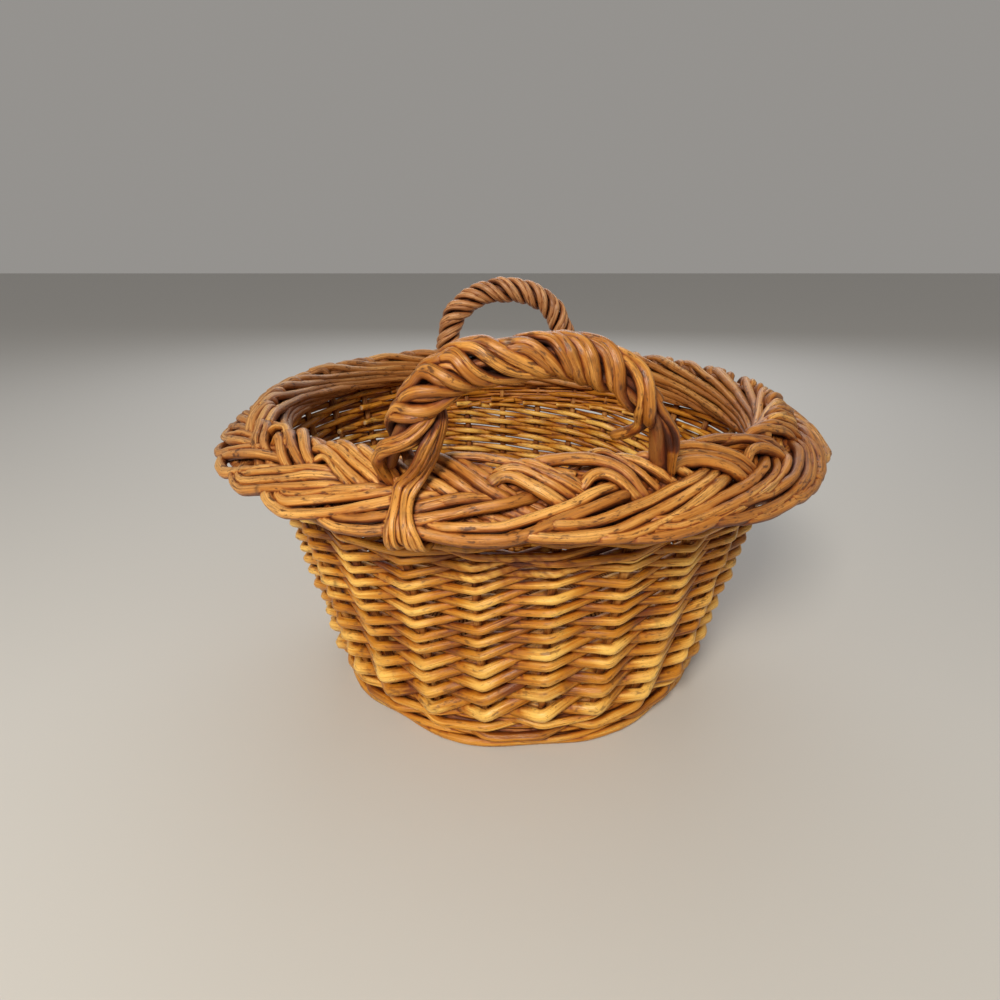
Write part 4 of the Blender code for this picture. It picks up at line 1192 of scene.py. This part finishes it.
        (outer if j % 2 else inner).rod(
            whole, (np.array((1.0, 1.0, 1.0, 0.88, 0.84)) if j == 23 else 1.0) * r / 1000, sides=16, step=0.0018,
            red=rng.uniform(0.0, 0.4), knots=0.06, lump=0.09, flat=0.10, ridge=0.035, tone=rng.uniform(0.3, 0.9),
        )
    # rods of the left foot, over the border and round its edge
    feet = (
        (2.2, ((-20.0, 2.0), (-19.6, -7.4), (-18.6, -17.4), (-17.4, -24.4)), ((-57.2, 184.5, 206.5), (-52.6, 189.5, 214.0), (-49.0, 191.4, 220.5), (-44.6, 188.4, 224.0))),
        (2.1, ((-18.9, 1.4), (-18.5, -8.0), (-17.7, -16.8), (-16.6, -23.4)), ((-54.4, 185.0, 206.6), (-49.6, 189.0, 214.5), (-45.6, 189.4, 221.5), (-42.0, 186.6, 227.0))),
        (2.0, ((-17.9, 0.8), (-17.6, -6.6), (-17.2, -14.6), (-16.0, -22.0)), ((-51.6, 184.4, 206.4), (-46.6, 187.8, 214.0), (-43.2, 187.4, 221.5), (-40.8, 184.8, 229.0))),
        (2.1, ((-17.1, -1.0), (-16.6, -9.4), (-16.3, -17.2), (-16.2, -23.8)), ((-49.2, 183.4, 205.8), (-44.6, 185.6, 213.5), (-41.8, 184.4, 221.0), (-39.8, 182.4, 230.0))),
        (2.0, ((-16.6, -4.0), (-15.8, -11.0), (-15.6, -18.4), (-15.5, -23.0)), ((-48.4, 182.4, 204.6), (-43.6, 183.8, 213.0), (-40.6, 182.8, 221.0), (-38.8, 181.4, 230.0))),
        (2.0, ((-15.7, -3.8), (-15.0, -13.0), (-14.9, -19.6), (-14.8, -23.4)), ((-46.4, 181.6, 204.6), (-42.0, 182.4, 212.5), (-39.6, 181.2, 220.0), (-37.8, 180.4, 229.0))),
    )
    for j, (r, laid, rope) in enumerate(feet):
        r *= 0.80
        gather = (0.70, 0.60, 0.78, 1.10)
        middle = [sum(f[1][i][0] for f in feet) / 6 for i in range(4)]
        apart = (0.0, 0.0, 0.35, 0.9)
        laid = [(m + (t - m) * g + (-a if j < 3 else a * 0.6), u) for (t, u), m, g, a in zip(laid, middle, gather, apart)]
        mid = [np.mean([f[2][i] for f in feet], 0) for i in range(4)]
        rope = [m + (np.array(q) - m) * g for q, m, g in zip(rope, mid, (0.62, 0.62, 0.75, 1.0))]
        lift = (7.4 + (j % 2), 7.2 + (j % 2), 6.4 + (j % 2), 4.0)
        t1, u1 = laid[-1]
        under = ((t1 + 0.2, u1 - 2.6, 0.4), (t1 + 0.5, u1 + 0.4, -5.0), (t1 + 0.8, u1 + 8.0, -8.6), (t1 + 1.2, u1 + 18.0, -9.2))
        rows = [(t, u, w) for (t, u), w in zip(laid, lift)] + list(under)
        low = on_border(0.0, [(math.radians(t), u, w) for t, u, w in rows])
        high = np.array(rope, float)[::-1] / 1000 * np.array((1.0, -1.0, 1.0))
        end, _ = wound(high[0], -1.0, 0.9, 0.0110, 0.0050, 0.9)
        whole = np.concatenate((end[::-1], high, low))
        whole = blurred(even(whole, 0.0010)[0], 2.4)
        n = len(whole)
        whole = whole + np.stack((drift(n, 20, 0.0003), drift(n, 20, 0.0003), drift(n, 20, 0.0003)), 1)
        # painted light along each foot rod: darker where it leaves the rope, lighter on its run over the border, and
        # painted shade where it tucks under the border's edge, on top of red-brown bark patches there
        (outer if j % 2 else inner).rod(
            whole, r / 1000, sides=10, step=0.0020, red=0.3, knots=0.09, lump=0.08, flat=0.08, ridge=0.05,
            tone=0.75, spots=(0.0, 0.0, 0.0, 0.0, 0.0, 0.0, 0.6, 1.2, 1.2),
            painted_light=(0.0, 0.0, 0.0, -0.4, 0.4, 0.9, 0.5, -0.3, -0.6),
        )


BACK_BEATS = [(-0.040 + 0.0158 * n, n) for n in range(20)]
near_handle()
handle(
    "back", math.pi + BACK_TURN, BACK_ARCH, BACK_BEATS, 3,
    (
        (-0.17, (0, 0.2), (0.0030, 0.0030), 0.0), (0.17, (0, 0.2), (0.0030, 0.0030), 0.0),
    ),
    (0.0, 0.02, 0.10, 0.19), (0.0006, 0.0010, 0.0012, 0.0006),
    0.0046, 0.0044, back_ends, 0.35,
)

# ------------------------------------------------------- build, then paint shade, highlights, stain and weathering
objects = [piece.build() for piece in Piece.made]
for piece, ob in zip(Piece.made, objects):
    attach(ob, "root")
    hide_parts(*piece.nodes)

all_v, all_f, shift = [], [], 0
for piece in Piece.made:
    all_v.append(piece.all_v)
    all_f.append(piece.all_quads + shift)
    shift += len(piece.all_v)
tree = BVHTree.FromPolygons(np.concatenate(all_v).tolist(), np.concatenate(all_f).tolist())
# painted shade: rays cast out from each vertex find other rods within REACH, and the nearer they are, the darker the
# vertex is painted
REACH = 0.0075
for piece in Piece.made:
    mesh = piece.object.data
    n = len(mesh.vertices)
    co = piece.all_v
    normal = np.empty(n * 3, np.float32)
    mesh.vertices.foreach_get("normal", normal)
    normal = normal.reshape(-1, 3).astype(float)
    helper = np.cross(normal, (0.31, 0.52, 0.79))
    helper /= np.maximum(np.linalg.norm(helper, axis=1, keepdims=True), 1e-9)
    other = np.cross(normal, helper)
    shade = np.zeros(n)
    rays = ((0.0, 0.0), (0.5, 0.6), (-0.6, 0.4), (0.1, -0.7))
    for a, b in rays:
        direction = normal + a * helper + b * other
        direction /= np.linalg.norm(direction, axis=1, keepdims=True)
        start = co + normal * 0.00025
        for i, (p, d) in enumerate(zip(start.tolist(), direction.tolist())):
            hit = tree.ray_cast(p, d, REACH)
            if hit[3] is not None:
                shade[i] += 1 - hit[3] / REACH
    shade /= len(rays)
    wear = piece.wear_and_shade_all
    shade *= 1.35
    if "_handle_wrap" in piece.name:        # painted shade in the grooves between the rods of a rope (weaker on the back handle), and painted highlight on the rods' crests
        middle = ROPE_MIDDLE[piece.name.split("_")[0]][::4]
        near = ((co[:, None, :] - middle[None]) ** 2).sum(2)
        close = near.argmin(1)
        out = co - middle[close]
        size_out = np.maximum(np.linalg.norm(out, axis=1), 1e-6)
        facing = (normal * out).sum(1) / size_out
        on_rope = np.clip((0.016 - size_out) / 0.003, 0, 1) * np.clip((co[:, 2] - 0.2060) / 0.0120, 0, 1)
        on_rope *= (close > 2) & (close < len(middle) - 3)
        groove_shade = np.clip((0.70 - facing) / 0.62, 0, 1) ** 1.1
        if piece.name.startswith("back"):
            groove_shade *= 0.6
        shade = np.maximum(shade, groove_shade * on_rope)
        # painted highlight where a rod faces out of the rope, painted shade on its sides, through the tone
        piece.info_all[:, 0] += 1.4 * np.clip(facing - 0.70, -0.5, 0.3) * on_rope
        mesh.attributes["info"].data.foreach_set("vector", piece.info_all.astype(np.float32).ravel())
    # old dark stain below the middle of the near rim
    turn = np.degrees(np.arctan2(co[:, 0], -co[:, 1]))
    stain = np.exp(-(((turn + 1.5) / 8.5) ** 2) - ((co[:, 2] - 0.152) / 0.013) ** 2)
    stain += 0.7 * np.exp(-(((turn + 11) / 4.0) ** 2) - ((co[:, 2] - 0.140) / 0.006) ** 2)
    patchy = np.sin(co[:, 0] * 610 + 1.7) * np.sin(co[:, 2] * 830 + 0.6) + 0.6 * np.sin(co[:, 0] * 1430 + co[:, 2] * 990)
    shade = shade + 0.75 * stain * np.clip(0.15 + 0.9 * patchy, 0, 1)
    # second value of the attribute: painted shade together with the stain
    wear[:, 1] = np.clip(shade, 0, 1)
    radius = np.hypot(co[:, 0], co[:, 1])
    if piece.slot == "willow_weave":        # paler on the inward faces of the far side: painted light where the light falls into the basket
        inward = -(normal[:, 0] * co[:, 0] + normal[:, 1] * co[:, 1]) / np.maximum(radius, 1e-6)
        piece.info_all[:, 0] += 0.55 * np.clip(inward, 0, 1) * np.clip((co[:, 1] - 0.04) / 0.06, 0, 1)
        mesh.attributes["info"].data.foreach_set("vector", piece.info_all.astype(np.float32).ravel())
    # painted shade on the border's faces turned from the plait's upper face and painted highlight on its crests, the
    # shade weaker on the far side; greyer on upward faces of the border's left and far sides, and on top
    if piece.slot == "willow_border":
        flat_r = (normal[:, 0] * co[:, 0] + normal[:, 1] * co[:, 1]) / np.maximum(radius, 1e-6)
        facing = flat_r * NORMAL[0] + normal[:, 2] * NORMAL[1]
        wear[:, 1] = np.maximum(wear[:, 1], 0.75 * np.clip((0.12 - facing) / 0.60, 0, 1))
        piece.info_all[:, 0] += 1.1 * np.clip(facing - 0.58, -0.45, 0.4)
        mesh.attributes["info"].data.foreach_set("vector", piece.info_all.astype(np.float32).ravel())
        far = np.clip((co[:, 1] + 0.10) / 0.16, 0, 1)
        left = np.clip((-co[:, 0] - 0.10) / 0.08, 0, 1)
        up = np.clip(normal[:, 2], 0, 1)
        wear[:, 1] *= 1 - 0.72 * far
        wear[:, 0] = np.clip(0.06 + 0.18 * far + 0.40 * left * np.maximum(up, 0.8 * far) + 0.10 * up, 0, 0.85)
    mesh.attributes["wear"].data.foreach_set("vector", wear.astype(np.float32).ravel())


# ---------------------------------------------------------- floor and lights
def plain(name, colour, rough):
    mat = bpy.data.materials.new(name)
    mat.use_nodes = True
    shader = mat.node_tree.nodes["Principled BSDF"]
    shader.inputs["Base Color"].default_value = (*colour, 1.0)
    shader.inputs["Roughness"].default_value = rough
    return mat


floor_mesh = bpy.data.meshes.new("floor")
size = 6.0
floor_mesh.from_pydata(
    [(-size, -size, -0.0002), (size, -size, -0.0002), (size, size, -0.0002), (-size, size, -0.0002)],
    [], [(0, 1, 2, 3)],
)
floor_mesh.materials.append(plain("floor_pale", (0.60, 0.59, 0.57), 0.8))
floor = bpy.data.objects.new("floor", floor_mesh)
bpy.context.scene.collection.objects.link(floor)

world = bpy.data.worlds.new("studio")
world.use_nodes = True
world.node_tree.nodes["Background"].inputs["Color"].default_value = (1.0, 0.96, 0.91, 1.0)
world.node_tree.nodes["Background"].inputs["Strength"].default_value = 0.30
bpy.context.scene.world = world
bpy.context.scene.view_settings.view_transform = "Standard"


def area(name, place, aim, size, power, colour):
    data = bpy.data.lights.new(name, "AREA")
    data.shape = "RECTANGLE"
    data.size, data.size_y = size
    data.energy = power
    data.color = colour
    ob = bpy.data.objects.new(name, data)
    ob.location = place
    ob.rotation_euler = (Vector(aim) - Vector(place)).to_track_quat("-Z", "Y").to_euler()
    bpy.context.scene.collection.objects.link(ob)
    return ob


area("key", (-0.36, -1.15, 0.99), (0, 0, 0.1), (0.40, 0.36), 18.8, (1.0, 0.93, 0.81))
area("fill", (1.1, -0.6, 0.7), (0, 0, 0.1), (0.9, 0.9), 0.2, (1.0, 0.95, 0.88))
area("back", (0.1, 1.3, 1.0), (0, 0, 0.15), (1.4, 0.7), 8.5, (0.95, 0.97, 1.0))

# ------------------------------------------------------------------ camera
camera_data = bpy.data.cameras.new("camera")
camera_data.sensor_width = 36.0
camera_data.lens = 23.04
camera_data.clip_start, camera_data.clip_end = 0.01, 50.0
camera = bpy.data.objects.new("camera", camera_data)
camera.location = (-0.0141, -0.4565, 0.3041)
camera.rotation_euler = (math.radians(90 - 22.2), 0.0, 0.0)
bpy.context.scene.collection.objects.link(camera)
bpy.context.scene.camera = camera
